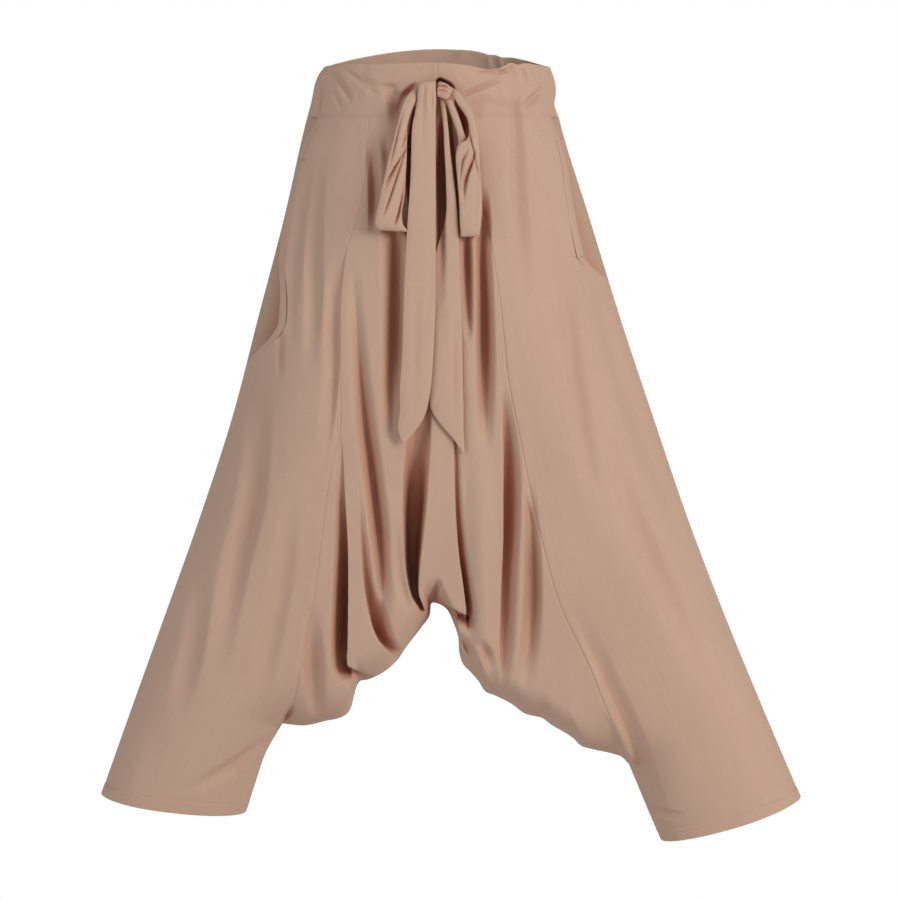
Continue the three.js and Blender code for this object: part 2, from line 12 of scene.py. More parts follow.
# %% Load the frame
import math
import bpy
import numpy as np
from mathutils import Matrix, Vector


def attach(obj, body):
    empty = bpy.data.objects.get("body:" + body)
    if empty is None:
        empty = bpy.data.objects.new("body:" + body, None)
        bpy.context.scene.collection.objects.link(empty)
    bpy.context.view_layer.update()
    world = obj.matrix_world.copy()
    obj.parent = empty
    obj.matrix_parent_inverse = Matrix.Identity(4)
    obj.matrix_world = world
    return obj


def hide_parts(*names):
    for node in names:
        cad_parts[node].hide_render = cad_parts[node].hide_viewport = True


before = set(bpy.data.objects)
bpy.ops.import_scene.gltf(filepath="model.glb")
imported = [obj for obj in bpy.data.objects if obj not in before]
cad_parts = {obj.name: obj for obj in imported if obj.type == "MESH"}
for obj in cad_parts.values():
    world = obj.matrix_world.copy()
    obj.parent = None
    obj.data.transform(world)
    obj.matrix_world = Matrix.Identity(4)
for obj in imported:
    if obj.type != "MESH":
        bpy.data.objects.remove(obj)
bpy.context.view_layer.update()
MM = 0.001  # metres in a millimetre
print("frame nodes:", ", ".join(sorted(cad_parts)))

# %% [markdown]
# ## Camera and light
#
# The camera looks along +Y from five metres away and a little above, so the inside of the back
# waistband shows over the front. The light is soft, as in a catalogue studio: a broad key lamp on the
# wearer's left, a weaker and cooler fill on the right, a little light from above, a lamp behind that
# lights the back, and a pale surround that fills the shadows. The surround and the floor look plain
# white to the camera alone, so nothing behind the cloth distracts from it.

# %% Camera
AIM = (0.017, 0.0, -0.481)
DISTANCE = 5.0
CAMERA_TILT = math.radians(5)
FRAME_WIDTH = 1.125  # metres across the picture at the garment
SENSOR = 36.0

camera_data = bpy.data.cameras.new("camera")
camera_data.sensor_width = SENSOR
camera_data.lens = SENSOR * DISTANCE / FRAME_WIDTH
camera = bpy.data.objects.new("camera", camera_data)
camera.location = (
    AIM[0],
    AIM[1] - DISTANCE * math.cos(CAMERA_TILT),
    AIM[2] + DISTANCE * math.sin(CAMERA_TILT),
)
camera.rotation_euler = (math.radians(90) - CAMERA_TILT, 0, 0)
bpy.context.scene.collection.objects.link(camera)
bpy.context.scene.camera = camera
print("lens", round(camera_data.lens, 1), "mm")

# %% Lights
def area_light(name, place, width, watts, colour=(1, 1, 1)):
    data = bpy.data.lights.new(name, "AREA")
    data.shape = "SQUARE"
    data.size = width
    data.energy = watts
    data.color = colour
    light = bpy.data.objects.new(name, data)
    light.location = place
    direction = Vector(AIM) - Vector(place)
    light.rotation_euler = direction.to_track_quat("-Z", "Y").to_euler()
    bpy.context.scene.collection.objects.link(light)


area_light("left_key", (2.5, -2.5, 0.7), 1.4, 84, (1.0, 0.985, 0.96))
area_light("right_fill", (-2.8, -2.1, 0.3), 1.6, 33, (0.94, 0.95, 1.0))
area_light("top_light", (0.0, -1.6, 2.6), 1.4, 6)
area_light("back_light", (0.5, 3.6, 0.6), 1.8, 60)

print(len(bpy.data.lights), "lamps")

# %% Surround
SURROUND_STRENGTH = 0.36


def white_to_camera(tree, lit, white, surface):
    """Give a surface one shader to light the scene with, and a white one for the camera to see."""
    seen = tree.nodes.new("ShaderNodeLightPath")
    either = tree.nodes.new("ShaderNodeMixShader")
    tree.links.new(seen.outputs["Is Camera Ray"], either.inputs[0])
    tree.links.new(lit.outputs[0], either.inputs[1])
    tree.links.new(white.outputs[0], either.inputs[2])
    tree.links.new(either.outputs[0], surface)


def surround():
    """A pale surround that lights the garment softly and that the camera sees as white."""
    world = bpy.data.worlds.new("surround")
    world.use_nodes = True
    nodes = world.node_tree.nodes
    light = nodes["Background"]
    light.inputs["Color"].default_value = (1, 1, 1, 1)
    light.inputs["Strength"].default_value = SURROUND_STRENGTH
    white = nodes.new("ShaderNodeBackground")
    white.inputs["Color"].default_value = (1, 1, 1, 1)
    white_to_camera(world.node_tree, light, white, nodes["World Output"].inputs["Surface"])
    bpy.context.scene.world = world


surround()
bpy.context.scene.view_settings.view_transform = "Standard"
print("surround strength", SURROUND_STRENGTH)

# %% Floor
FLOOR_Z = -1.30
FLOOR_HALF = 12.0
FLOOR_COLOUR = (0.68, 0.655, 0.64)


def pale_floor():
    """A wide pale floor. The camera sees it evenly lit, and it throws some light up at the garment."""
    corners = [(-1, -1), (1, -1), (1, 1), (-1, 1)]
    points = [(x * FLOOR_HALF, y * FLOOR_HALF, FLOOR_Z) for x, y in corners]
    mesh = bpy.data.meshes.new("floor")
    mesh.from_pydata(points, [], [(0, 1, 2, 3)])
    floor = bpy.data.objects.new("floor", mesh)
    bpy.context.scene.collection.objects.link(floor)
    paint = bpy.data.materials.new("pale floor")
    paint.use_nodes = True
    nodes = paint.node_tree.nodes
    shader = nodes["Principled BSDF"]
    shader.inputs["Base Color"].default_value = (*FLOOR_COLOUR, 1)
    shader.inputs["Roughness"].default_value = 0.9
    glow = nodes.new("ShaderNodeEmission")
    white_to_camera(paint.node_tree, shader, glow, nodes["Material Output"].inputs["Surface"])
    mesh.materials.append(paint)


pale_floor()
print("floor", FLOOR_HALF * 2, "m wide")

# %% [markdown]
# ## The garment's sizes
#
# The same short tables shape the frame's solids: the body's section at each drop, the two long seams,
# the legs, and the lower edge of the web between them. A smooth curve through each table's rows gives
# a value at any drop, so the cloth can be as fine as it needs to be and still lie on its solid.


# %% Tables and curves
def table(columns, rows):
    return dict(zip(columns, np.array(rows, float).T))


def smooth(rows, key, column, at):
    """A smooth value through a table's rows, and a straight line beyond its ends."""
    keys, values = rows[key], rows[column]
    at = np.asarray(at, float)
    steps = np.diff(keys)
    slopes = np.diff(values) / steps
    middle = (slopes[:-1] * steps[1:] + slopes[1:] * steps[:-1]) / (steps[:-1] + steps[1:])
    tangents = np.concatenate([slopes[:1], middle, slopes[-1:]])
    i = np.clip(np.searchsorted(keys, at, side="right") - 1, 0, len(keys) - 2)
    step = steps[i]
    t = np.clip((at - keys[i]) / step, 0, 1)
    t2, t3 = t * t, t * t * t
    inside = (
        (2 * t3 - 3 * t2 + 1) * values[i]
        + (t3 - 2 * t2 + t) * step * tangents[i]
        + (3 * t2 - 2 * t3) * values[i + 1]
        + (t3 - t2) * step * tangents[i + 1]
    )
    before = np.minimum(at - keys[0], 0) * slopes[0]
    after = np.maximum(at - keys[-1], 0) * slopes[-1]
    return inside + before + after


def mix(a, b, t):
    return a + (b - a) * t


def ramp(t):
    c = np.clip(t, 0, 1)
    return c * c * (3 - 2 * c)


def rounded(distance, radius):
    """The height of a quarter ellipse at a distance in from its edge, from 0 to 1."""
    inward = np.clip(distance / radius, 0, 1)
    return np.sqrt(1 - (1 - inward) ** 2)


def unit(vectors):
    return vectors / np.maximum(np.linalg.norm(vectors, axis=-1, keepdims=True), 1e-9)


print("a ramp in four steps:", [round(float(ramp(step / 4)), 2) for step in range(5)])

# %% Sizes
BAND_DROP = 66  # lower edge of the waistband
BACK_RISE = 19
SIDE_DIP = 4
BAND_SIDE_ANGLE = 76  # degrees round from the centre front to the band's side seam
SEAM_ROUND = 80  # width over which the inner legs round away
WEB_ROUND = 46  # the same for the middle of the web's lower edge
HEM_SAG = 3
HEM_TURN = 15
HEM_STEP = 0.5  # how far the turned hem stands out from the single cloth above it
HEM_GROOVE = 0.5
HEM_EASE = 5  # width beside the inner seam over which the hem's step fades, so the seam stays closed
CLOTH = 0.7  # from one layer of cloth to the next where it is folded back

SECTION = table(["drop", "right", "left", "front", "back", "round"], [
    [0, 141, 139, 101, 106, 138],
    [66, 160, 152, 107, 113, 150],
    [190, 189, 190, 120, 133, 165],
    [315, 222, 229, 125, 141, 160],
    [440, 255, 271, 122, 133, 145],
    [565, 296, 314, 115, 120, 125],
    [690, 341, 362, 102, 104, 108],
    [820, 388, 416, 84, 84, 98],
    [918, 423, 458, 68, 66, 94],
])
SEAMS = table(["drop", "right", "left"], [
    [66, 82, 41], [165, 90, 56], [240, 113, 70], [290, 117, 78], [385, 117, 88], [440, 117, 99],
    [510, 131, 113], [590, 142, 131], [665, 152, 153], [740, 167, 188], [790, 178, 208],
    [824, 193, 222], [875, 215, 241],
])
LEGS = {
    "right": {"side": -1, "notch": 824, "notch_outer": 806, "hem_inner": 936, "hem_outer": 914,
              "inner": [193, 214, 227, 239]},
    "left": {"side": 1, "notch": 875, "notch_outer": 836, "hem_inner": 972, "hem_outer": 918,
             "inner": [241, 254.5, 268, 282]},
}
WEB_EDGE = table(["x", "drop"], [
    [-193, 824], [-165, 826], [-140, 820], [-116, 813.5], [-110.5, 809.5], [-107, 803], [-103, 788],
    [-98, 773], [-95, 769], [-88, 768], [-78, 764.5], [-58, 752], [-48, 742], [-38, 727], [-18, 700.5],
    [-9, 688], [-4, 670], [2, 671], [12, 677], [22, 696], [27, 712], [29, 735], [33, 747], [43, 758],
    [52, 768.5], [62, 783], [72, 787], [92, 797], [112, 811], [122, 813.5], [132, 816], [142, 823.5],
    [172, 842.5], [182, 852], [192, 855], [222, 862.5], [232, 866], [241, 875],
])
print("overall drop", LEGS["left"]["hem_inner"] + HEM_SAG, "mm")

# %% [markdown]
# ## Folds
#
# Light cloth that hangs from a waistband falls in long folds. Here each fold is a line of points drawn
# on the front or the back, and it takes the cloth in. Each point says how deep the fold is there, how
# wide it is on each side and how far its bottom slides under one edge. A narrow side with a slide
# makes the crisp, overhanging edge of a pleat, and a wide one makes a soft hollow. A depth below 0 is
# a ridge. A few deep folds are squarer than the rest, so that they stay dark right up to their edges.

# %% Fold lines in front
FOLD = ["x", "drop", "depth", "right", "left", "slide"]
FOLD_STEPS = 6
SOFT = 2.0  # how square a fold is, unless SQUARE says more
SQUARE = {"middle_lens": 4.0, "right_seam_pleat": 3.0, "right_long": 1.3,
          "under_right_loop": 1.6, "under_tails": 1.6, "left_seam_pleat": 1.8, "beside_tails": 1.6}

FRONT_FOLDS = {
    "band_right_corner": [
        [-132, 8, 0, 5, 6, 0], [-122, 20, 3.2, 5, 7, 0], [-111, 36, 3.6, 5, 8, 0], [-104, 50, 0, 4, 6, 0]],
    "band_right_middle": [
        [-118, 4, 0, 4, 6, 0], [-98, 20, 2.6, 5, 7, 0], [-78, 34, 2, 5, 8, 0], [-64, 42, 0, 4, 7, 0]],
    "band_right_long": [
        [-100, 10, 0, 4, 5, 0], [-76, 27, 1.8, 5, 7, 0], [-44, 29, 1.5, 5, 7, 0], [-30, 27, 0, 4, 5, 0]],
    "band_right_low": [
        [-126, 34, 0, 4, 5, 0], [-121, 48, 2, 5, 6, 0], [-116, 60, 0, 4, 5, 0]],
    "band_knot_right": [
        [-62, 24, 0, 10, 8, 0], [-51, 42, 8, 15, 12, 0], [-47, 58, 8, 15, 12, 0], [-46, 84, 0, 12, 10, 0]],
    "behind_knot": [
        [-1, 27, 0, 3, 3, 0], [1, 23, 14, 3, 3, 0], [5, 20.5, 18, 3, 3, 0], [10, 22.5, 18, 3, 3, 0],
        [18, 27, 14, 3, 3, 0], [23, 36, 0, 3, 3, 0]],
    "beside_tail_top": [
        [-23, 24, 0, 4, 4, 0], [-30, 31, 7, 5, 5, 0], [-38, 39, 8, 6, 6, 0], [-44, 50, 4, 6, 7, 0],
        [-47, 63, 0, 6, 6, 0]],
    "inside_right_loop": [
        [-25, 44, 0, 4, 4, 0], [-29, 62, 12, 5, 5, 0], [-31, 86, 18, 6, 6, 0], [-32, 120, 18, 6, 6, 0],
        [-33, 160, 14, 6, 6, 0], [-35, 196, 8, 6, 6, 0], [-36, 212, 0, 6, 6, 0]],
    "between_tails": [
        [5, 58, 0, 5, 5, 0], [5, 84, 14, 7, 7, 0], [6, 120, 24, 9, 9, 0], [7, 170, 24, 9, 9, 0],
        [6, 210, 12, 8, 8, 0], [4, 240, 0, 6, 6, 0]],
    "inside_left_loop": [
        [14, 56, 0, 3, 3, 0], [17, 76, 10, 4, 4, 0], [20, 104, 16, 5, 5, 0], [23, 140, 16, 5, 5, 0],
        [26, 176, 8, 5, 5, 0], [28, 198, 0, 5, 5, 0]],
    "band_left_long": [
        [88, 16, 0, 5, 3, 0], [66, 27, 3, 7, 2.5, 0], [42, 36, 3.4, 6, 2.5, 0], [28, 42, 0, 5, 2.5, 0]],
    "band_left_crease": [
        [42, 13, 0, 3, 2, 0], [60, 10.5, 2.4, 4, 1.6, 0], [80, 9, 2, 4, 1.6, 0], [92, 12, 0, 3, 2, 0]],
    "band_left_upper": [
        [60, 9, 0, 3, 5, 0], [74, 13, 3, 4, 5, 0], [90, 8, 2.4, 4, 5, 0], [98, 4, 0, 3, 4, 0]],
    "band_left_gather_1": [[92, 2, 0, 3, 3, 0], [94, 12, 2.4, 4, 4, 0], [95, 26, 0, 3, 3, 0]],
    "band_left_gather_2": [[102, 2, 0, 3, 3, 0], [108, 14, 2.8, 4, 4, 0], [112, 26, 0, 3, 3, 0]],
    "band_left_gather_3": [[114, 2, 0, 3, 3, 0], [118, 12, 2, 4, 4, 0], [121, 20, 0, 3, 3, 0]],
    "band_left_dent": [
        [106, 58, 0, 6, 6, 0], [114, 48, 4.5, 8, 7, 0], [124, 38, 5, 8, 7, 0], [130, 28, 0, 6, 5, 0]],
    "band_left_soft": [
        [30, 34, 0, 14, 14, 0], [58, 50, 3, 16, 14, 0], [90, 56, 3.5, 15, 14, 0], [112, 58, 0, 12, 12, 0]],
    "behind_left_loop": [
        [22, 40, 0, 4, 4, 0], [27, 54, 16, 5, 5, 0], [34, 68, 24, 8, 8, 0], [37, 84, 22, 8, 8, 0],
        [36, 102, 0, 6, 6, 0]],
    "band_left_hollow": [
        [42, 44, 0, 12, 12, 0], [46, 56, 4, 14, 16, 0], [50, 72, 0, 12, 12, 0]],
    "beside_right_loop": [
        [-80, 84, 0, 8, 9, 0], [-79, 120, 7, 8, 11, 0], [-77, 165, 9, 7, 12, 0], [-76, 215, 0, 8, 12, 0]],
    "over_right_loop": [
        [-64, 88, 0, 8, 8, 0], [-60, 108, 4, 8, 9, 0], [-57, 140, 0, 8, 8, 0]],
    "under_right_loop": [
        [-52, 130, 0, 16, 12, 0], [-50, 190, 11, 20, 13, 0], [-48, 250, 21, 22, 13, 0],
        [-49, 340, 21, 20, 14, 0], [-52, 400, 12, 18, 15, 0], [-54, 470, 0, 14, 12, 0]],
    "right_long": [
        [-101, 250, 0, 10, 12, 0], [-96, 340, 9, 13, 15, 0], [-87, 434, 18, 15, 16, 0],
        [-79, 496, 23, 15, 16, 0], [-72, 560, 24, 14, 17, 0], [-68, 610, 18, 12, 17, 0],
        [-66, 660, 9, 11, 16, 0], [-62, 696, 0, 9, 12, 0]],
    "right_pleat": [
        [-94, 500, 0, 3, 5, 0], [-91, 560, 3, 3, 7, -1], [-86.5, 630, 11, 3, 13, -2],
        [-79, 675, 24, 3, 20, -4], [-70, 702, 28, 3, 20, -5], [-57, 720, 18, 3, 14, -4],
        [-44, 732, 6, 3, 10, -1], [-36, 738, 0, 3, 8, 0]],
    "right_seam_pleat": [
        [-118, 440, 0, 7, 3, 0], [-116, 480, 2, 10, 3, 1], [-114, 530, 8, 12, 3, 2],
        [-111, 590, 22, 15, 3, 4], [-111, 650, 42, 18, 3, 6], [-113, 705, 46, 18, 4, 6],
        [-115, 738, 28, 15, 5, 4], [-112, 758, 0, 10, 6, 0]],
    "right_foot": [
        [-122, 732, 0, 10, 3, 0], [-112, 742, 16, 16, 3, 3], [-98, 750, 20, 22, 3, 5],
        [-84, 758, 14, 20, 3, 4], [-68, 766, 0, 10, 3, 0]],
    "right_low_soft": [
        [-155, 660, 0, 12, 14, 0], [-153, 730, 12, 14, 18, 0], [-150, 780, 9, 13, 16, 0],
        [-148, 812, 0, 10, 12, 0]],
    "right_low_corner": [
        [-176, 790, 0, 8, 8, 0], [-186, 806, 8, 9, 7, 0], [-200, 820, 0, 8, 6, 0]],
    "middle_lens": [
        [-18, 385, 0, 13, 13, 0], [-20, 440, 10, 15, 15, 0], [-24, 490, 24, 16, 16, 0],
        [-26.5, 535, 42, 15, 15.5, 0], [-28, 580, 54, 12.5, 12, 0], [-29, 620, 56, 9, 9, 0],
        [-26.5, 648, 46, 5.5, 5.5, 0], [-20, 664, 26, 3.5, 3.5, 0], [-16, 674, 0, 3, 3, 0]],
    "middle_left_crease": [
        [-50, 560, 0, 9, 9, 0], [-47, 610, 3, 10, 9, 0], [-40, 650, 3, 8, 8, 0], [-30, 672, 0, 6, 6, 0]],
    "middle_notch": [
        [4, 630, 0, 6, 7, 0], [-1, 644, 9, 6, 7, 0], [-5, 658, 10, 5, 6, 0], [-8, 668, 0, 4, 4, 0]],
    "middle_lip": [
        [6, 664, 0, 8, 2.5, 0], [18, 670, 16, 12, 2.5, 0], [30, 676, 22, 13, 2.5, 0],
        [40, 680, 18, 12, 2.5, 0], [48, 682, 0, 9, 2.5, 0]],
    "middle_line": [
        [23, 415, 0, 2.5, 5, 0], [24, 470, 5, 2.5, 6, -1], [26, 540, 9, 2.5, 7, -2],
        [30, 595, 15, 2.5, 9, -3], [36, 640, 22, 2.5, 10, -4], [40, 672, 22, 3, 11, -4],
        [40, 696, 0, 4, 9, 0]],
    "left_roll": [
        [52, 430, 0, 18, 18, 0], [57, 560, -7, 24, 20, 0], [60, 690, -9, 24, 20, 0],
        [60, 760, 0, 14, 14, 0]],
    "left_roll_dimple": [
        [30, 700, 0, 5, 7, 0], [37, 716, 9, 6, 8, 0], [46, 730, 0, 6, 8, 0]],
    "left_roll_hollow": [
        [54, 708, 0, 8, 8, 0], [61, 722, 9, 9, 10, 0], [66, 742, 4, 9, 10, 0], [68, 764, 0, 8, 8, 0]],
    "under_tails": [
        [57, 150, 0, 10, 10, 0], [57, 215, 16, 11, 12, 0], [58, 320, 26, 12, 15, 0],
        [59, 400, 16, 12, 15, 0], [60, 475, 0, 11, 12, 0]],
    "beside_tails": [
        [36, 190, 0, 7, 7, 0], [37, 235, 16, 8, 9, 0], [39, 300, 10, 8, 8, 0], [40, 340, 0, 7, 7, 0]],
    "left_wedge": [
        [82, 390, 0, 3, 8, 0], [84, 435, 8, 3, 15, -1], [85, 480, 17, 3, 19, -2],
        [85, 530, 23, 3, 21, -3], [85, 580, 23, 3, 19, -3], [84, 620, 18, 3.5, 17, -3],
        [83, 660, 14, 4, 16, -2], [82, 710, 8, 4, 15, -1], [82, 745, 4, 4, 12, 0],
        [81, 768, 0, 4, 8, 0]],
    "left_pleat_ridge": [
        [108, 470, 0, 10, 10, 0], [105, 600, -5, 12, 9, 0], [99, 720, -5, 14, 9, 0],
        [84, 770, 0, 12, 12, 0]],
    "left_seam_pleat": [
        [114, 510, 0, 10, 9, 0], [116, 560, 7, 12, 11, 0], [118, 612, 14, 14, 13, 0],
        [118, 660, 15, 15, 14, 0], [115, 708, 10, 15, 15, 0], [111, 748, 4, 13, 14, 0],
        [109, 776, 0, 10, 10, 0]],
    "beside_left_seam": [
        [106, 518, 0, 5, 4, 0], [111, 540, 2.6, 6, 4, 0], [117, 566, 0, 6, 5, 0]],
    "left_leg_long": [
        [190, 235, 0, 24, 18, 0], [224, 343, 8, 28, 22, 0], [261, 459, 9, 26, 26, 0],
        [330, 625, 0, 24, 24, 0]],
    "left_leg_inner": [
        [163, 210, 0, 14, 14, 0], [164, 312, 6, 15, 15, 0], [180, 447, 7, 16, 16, 0],
        [192, 530, 0, 14, 14, 0]],
    "left_leg_low": [
        [215, 460, 0, 18, 18, 0], [245, 560, 8, 20, 20, 0], [285, 650, 8, 20, 20, 0],
        [330, 760, 0, 18, 18, 0]],
    "left_hip": [
        [97, 24, 0, 7, 8, 0], [98, 60, 5, 9, 10, 0], [99, 130, 7, 11, 14, 0],
        [102, 200, 6, 12, 15, 0], [108, 290, 0, 12, 14, 0]],
    "left_leg_seam": [
        [172, 672, 0, 8, 16, 0], [202, 745, 5, 9, 20, 0], [235, 820, 8, 9, 22, 0],
        [262, 890, 6, 9, 18, 0], [280, 930, 0, 8, 12, 0]],
    "left_cuff": [
        [250, 888, 0, 4, 9, 0], [262, 910, 7, 11, 4, 0], [280, 927, 6, 12, 4, 0], [310, 933, 0, 8, 6, 0]],
    "right_hip": [
        [-142, 120, 0, 10, 10, 0], [-150, 200, 5, 12, 14, 0], [-150, 290, 6, 13, 14, 0],
        [-156, 380, 0, 12, 12, 0]],
    "right_seam_side": [
        [-112, 215, 0, 14, 6, 0], [-122, 290, 6, 16, 7, 0], [-124, 380, 7, 16, 7, 0],
        [-134, 470, 0, 14, 7, 0]],
    "right_pocket_crease": [
        [-188, 325, 0, 6, 6, 0], [-190, 345, 4, 6, 5, 0], [-191, 365, 4, 6, 5, 0], [-192, 388, 0, 6, 6, 0]],
    "right_pocket_soft": [
        [-154, 110, 0, 8, 10, 0], [-161, 150, 3, 9, 12, 0], [-168, 190, 4, 9, 13, 0],
        [-174, 240, 4, 9, 13, 0], [-178, 295, 3, 9, 12, 0], [-180, 345, 0, 8, 10, 0]],
    "band_side_right": [
        [-138, 6, 0, 2, 2, 0], [-140, 24, 5, 2.5, 2, 0], [-142, 44, 5, 2.5, 2, 0],
        [-144, 60, 3, 2.5, 2, 0], [-145, 68, 0, 2, 2, 0]],
    "right_leg_long": [
        [-217, 380, 0, 20, 20, 0], [-224, 520, 10, 22, 20, 0], [-247, 620, 10, 22, 20, 0],
        [-278, 780, 0, 20, 20, 0]],
    "right_leg_middle": [
        [-176, 520, 0, 16, 16, 0], [-188, 620, 6, 18, 18, 0], [-205, 710, 6, 18, 18, 0],
        [-222, 790, 0, 16, 16, 0]],
    "right_leg_outer": [
        [-285, 620, 0, 18, 18, 0], [-302, 720, 7, 20, 20, 0], [-325, 810, 0, 18, 18, 0]],
    "right_cuff": [
        [-204, 828, 0, 5, 12, 0], [-222, 844, 8, 6, 15, 0], [-244, 860, 8, 8, 15, 0],
        [-275, 880, 5, 10, 14, 0], [-312, 902, 0, 11, 11, 0]],
    "right_cuff_crease": [
        [-248, 866, 0, 5, 6, 0], [-249, 878, 2.4, 5, 6, 0], [-247, 892, 0, 5, 5, 0]],
}
print(len(FRONT_FOLDS), "folds in front")

# %% Fold lines behind
BACK_FOLDS = {
    "band_right": [[-96, 4, 0, 4, 5, 0], [-84, 24, 3, 5, 7, 0], [-76, 50, 0, 5, 6, 0]],
    "band_left": [[104, 6, 0, 4, 5, 0], [86, 22, 3.4, 6, 6, 0], [64, 34, 0, 5, 5, 0]],
    "band_left_gather_1": [[66, -16, 0, 4, 4, 0], [68, 2, 1.6, 5, 5, 0], [70, 26, 0, 4, 5, 0]],
    "band_left_gather_2": [[80, -14, 0, 4, 4, 0], [82, 4, 1.6, 5, 5, 0], [88, 24, 0, 4, 5, 0]],
    "right_deep": [
        [-98, 320, 0, 16, 18, 0], [-110, 460, 16, 14, 26, -2], [-117, 590, 36, 10, 28, -4],
        [-116, 690, 30, 9, 26, -3], [-106, 785, 0, 12, 18, 0]],
    "right_soft": [
        [-86, 260, 0, 18, 18, 0], [-76, 420, 10, 22, 20, 0], [-66, 560, 20, 22, 20, 0],
        [-58, 670, 18, 20, 18, 0], [-50, 745, 0, 14, 14, 0]],
    "middle_right": [
        [-18, 300, 0, 18, 18, 0], [-21, 440, 14, 22, 22, 0], [-22, 560, 34, 16, 24, 2],
        [-19, 635, 28, 13, 18, 2], [-14, 686, 0, 10, 12, 0]],
    "middle_left": [
        [10, 250, 0, 18, 18, 0], [24, 420, 11, 22, 22, 0], [35, 560, 21, 20, 22, 0],
        [42, 660, 18, 17, 18, 0], [46, 735, 0, 13, 13, 0]],
    "left_deep": [
        [76, 300, 0, 18, 16, 0], [89, 450, 18, 24, 14, 2], [94, 570, 36, 26, 10, 4],
        [92, 680, 30, 25, 9, 4], [84, 780, 0, 16, 12, 0]],
    "left_soft": [
        [116, 470, 0, 14, 14, 0], [126, 590, 11, 18, 18, 0], [128, 690, 14, 18, 18, 0],
        [118, 800, 0, 14, 14, 0]],
    "left_hip": [
        [92, 90, 0, 16, 16, 0], [96, 190, 6, 20, 20, 0], [104, 330, 0, 16, 16, 0]],
    "right_hip": [
        [-70, 90, 0, 16, 16, 0], [-80, 210, 7, 20, 20, 0], [-90, 350, 0, 16, 16, 0]],
    "left_leg_long": [
        [190, 300, 0, 24, 24, 0], [230, 460, 10, 30, 30, 0], [300, 640, 11, 30, 30, 0],
        [350, 800, 0, 24, 24, 0]],
    "left_leg_low": [
        [195, 600, 0, 18, 18, 0], [236, 750, 10, 20, 22, 0], [270, 860, 9, 18, 20, 0],
        [296, 940, 0, 12, 12, 0]],
    "right_leg_long": [
        [-180, 280, 0, 24, 24, 0], [-215, 450, 11, 30, 30, 0], [-265, 640, 11, 30, 30, 0],
        [-315, 800, 0, 24, 24, 0]],
    "right_leg_low": [
        [-210, 640, 0, 18, 18, 0], [-232, 740, 8, 20, 20, 0], [-262, 840, 8, 20, 20, 0],
        [-290, 910, 0, 16, 16, 0]],
    "right_cuff": [
        [-206, 822, 0, 8, 10, 0], [-232, 846, 10, 8, 13, 0], [-268, 872, 7, 10, 12, 0],
        [-310, 896, 0, 9, 9, 0]],
}
print(len(BACK_FOLDS), "folds behind")


# %% Filling in the lines
def fold_line(rows, square=SOFT):
    """A fold's rows, filled in finely enough to measure a distance from it."""
    rough = table(FOLD, rows)
    rough["i"] = np.arange(len(rows), dtype=float)
    at = np.linspace(0, len(rows) - 1, (len(rows) - 1) * FOLD_STEPS + 1)
    return {**{name: smooth(rough, "i", name, at) for name in FOLD}, "square": square}


FOLD_LINES = {
    "front": [fold_line(rows, SQUARE.get(name, SOFT)) for name, rows in FRONT_FOLDS.items()],
    "back": [fold_line(rows) for rows in BACK_FOLDS.values()],
}
print("deepest fold in front:", round(max(line["depth"].max() for line in FOLD_LINES["front"])), "mm")


# %% Measuring a fold
def fold_pull(lines, x, drop):
    """How deep the folds take the cloth in at each place, and how far they slide it to the left."""
    depth, slide = np.zeros(x.shape), np.zeros(x.shape)
    for line in lines:
        reach = max(line["right"].max(), line["left"].max())
        near = (x > line["x"].min() - reach) & (x < line["x"].max() + reach)
        near &= (drop > line["drop"].min() - reach) & (drop < line["drop"].max() + reach)
        if not near.any():
            continue
        px, pd = x[near], drop[near]
        nearest = np.full(px.shape, np.inf)
        deep, slid = np.zeros(px.shape), np.zeros(px.shape)
        for i in range(len(line["x"]) - 1):
            a = {name: line[name][i] for name in FOLD}
            b = {name: line[name][i + 1] for name in FOLD}
            dx, dd = b["x"] - a["x"], b["drop"] - a["drop"]
            t = np.clip(((px - a["x"]) * dx + (pd - a["drop"]) * dd) / (dx * dx + dd * dd), 0, 1)
            away = np.hypot(px - a["x"] - t * dx, pd - a["drop"] - t * dd)
            to_left = dd * (px - a["x"]) - dx * (pd - a["drop"]) > 0
            wide = np.where(to_left, mix(a["left"], b["left"], t), mix(a["right"], b["right"], t))
            share = (1 - np.minimum(1, away / wide) ** line["square"]) ** 2
            closer = away < nearest
            nearest = np.where(closer, away, nearest)
            deep = np.where(closer, mix(a["depth"], b["depth"], t) * share, deep)
            slid = np.where(closer, mix(a["slide"], b["slide"], t) * share, slid)
        depth[near] += deep
        slide[near] += slid
    return depth, slide


place, level = np.array([-28.0, 60.0]), np.array([580.0, 580.0])
print("depths at two places, 580 mm down:", np.round(fold_pull(FOLD_LINES["front"], place, level)[0]))

# %% Small swells
SWELL_GRID = 64  # random heights along each side of the square that repeats


def swell(seed, x, drop, wide, long):
    """Soft random swells between -1 and 1, `wide` mm across and `long` mm down."""
    heights = np.random.default_rng(seed).uniform(-1, 1, (SWELL_GRID, SWELL_GRID))
    u, v = x / wide, drop / long
    i, j = np.floor(u).astype(int), np.floor(v).astype(int)
    s, t = ramp(u - i), ramp(v - j)
    at = lambda a, b: heights[a % SWELL_GRID, b % SWELL_GRID]
    return mix(mix(at(i, j), at(i + 1, j), s), mix(at(i, j + 1), at(i + 1, j + 1), s), t)


print("swells at two places:", np.round(swell(3, place, level, 38, 150), 2))

# %% [markdown]
# ## The cloth's surface
#
# Every panel lies on one surface, in front or behind: a body with rounded sides whose section changes
# on the way down, pressed in by the folds and drawn in along the seams. Because each panel asks the
# same function where its points lie, panels that share a seam meet along it without a gap. The folds
# fade out at the sides and at the lower edges, so that the front and the back still meet there.

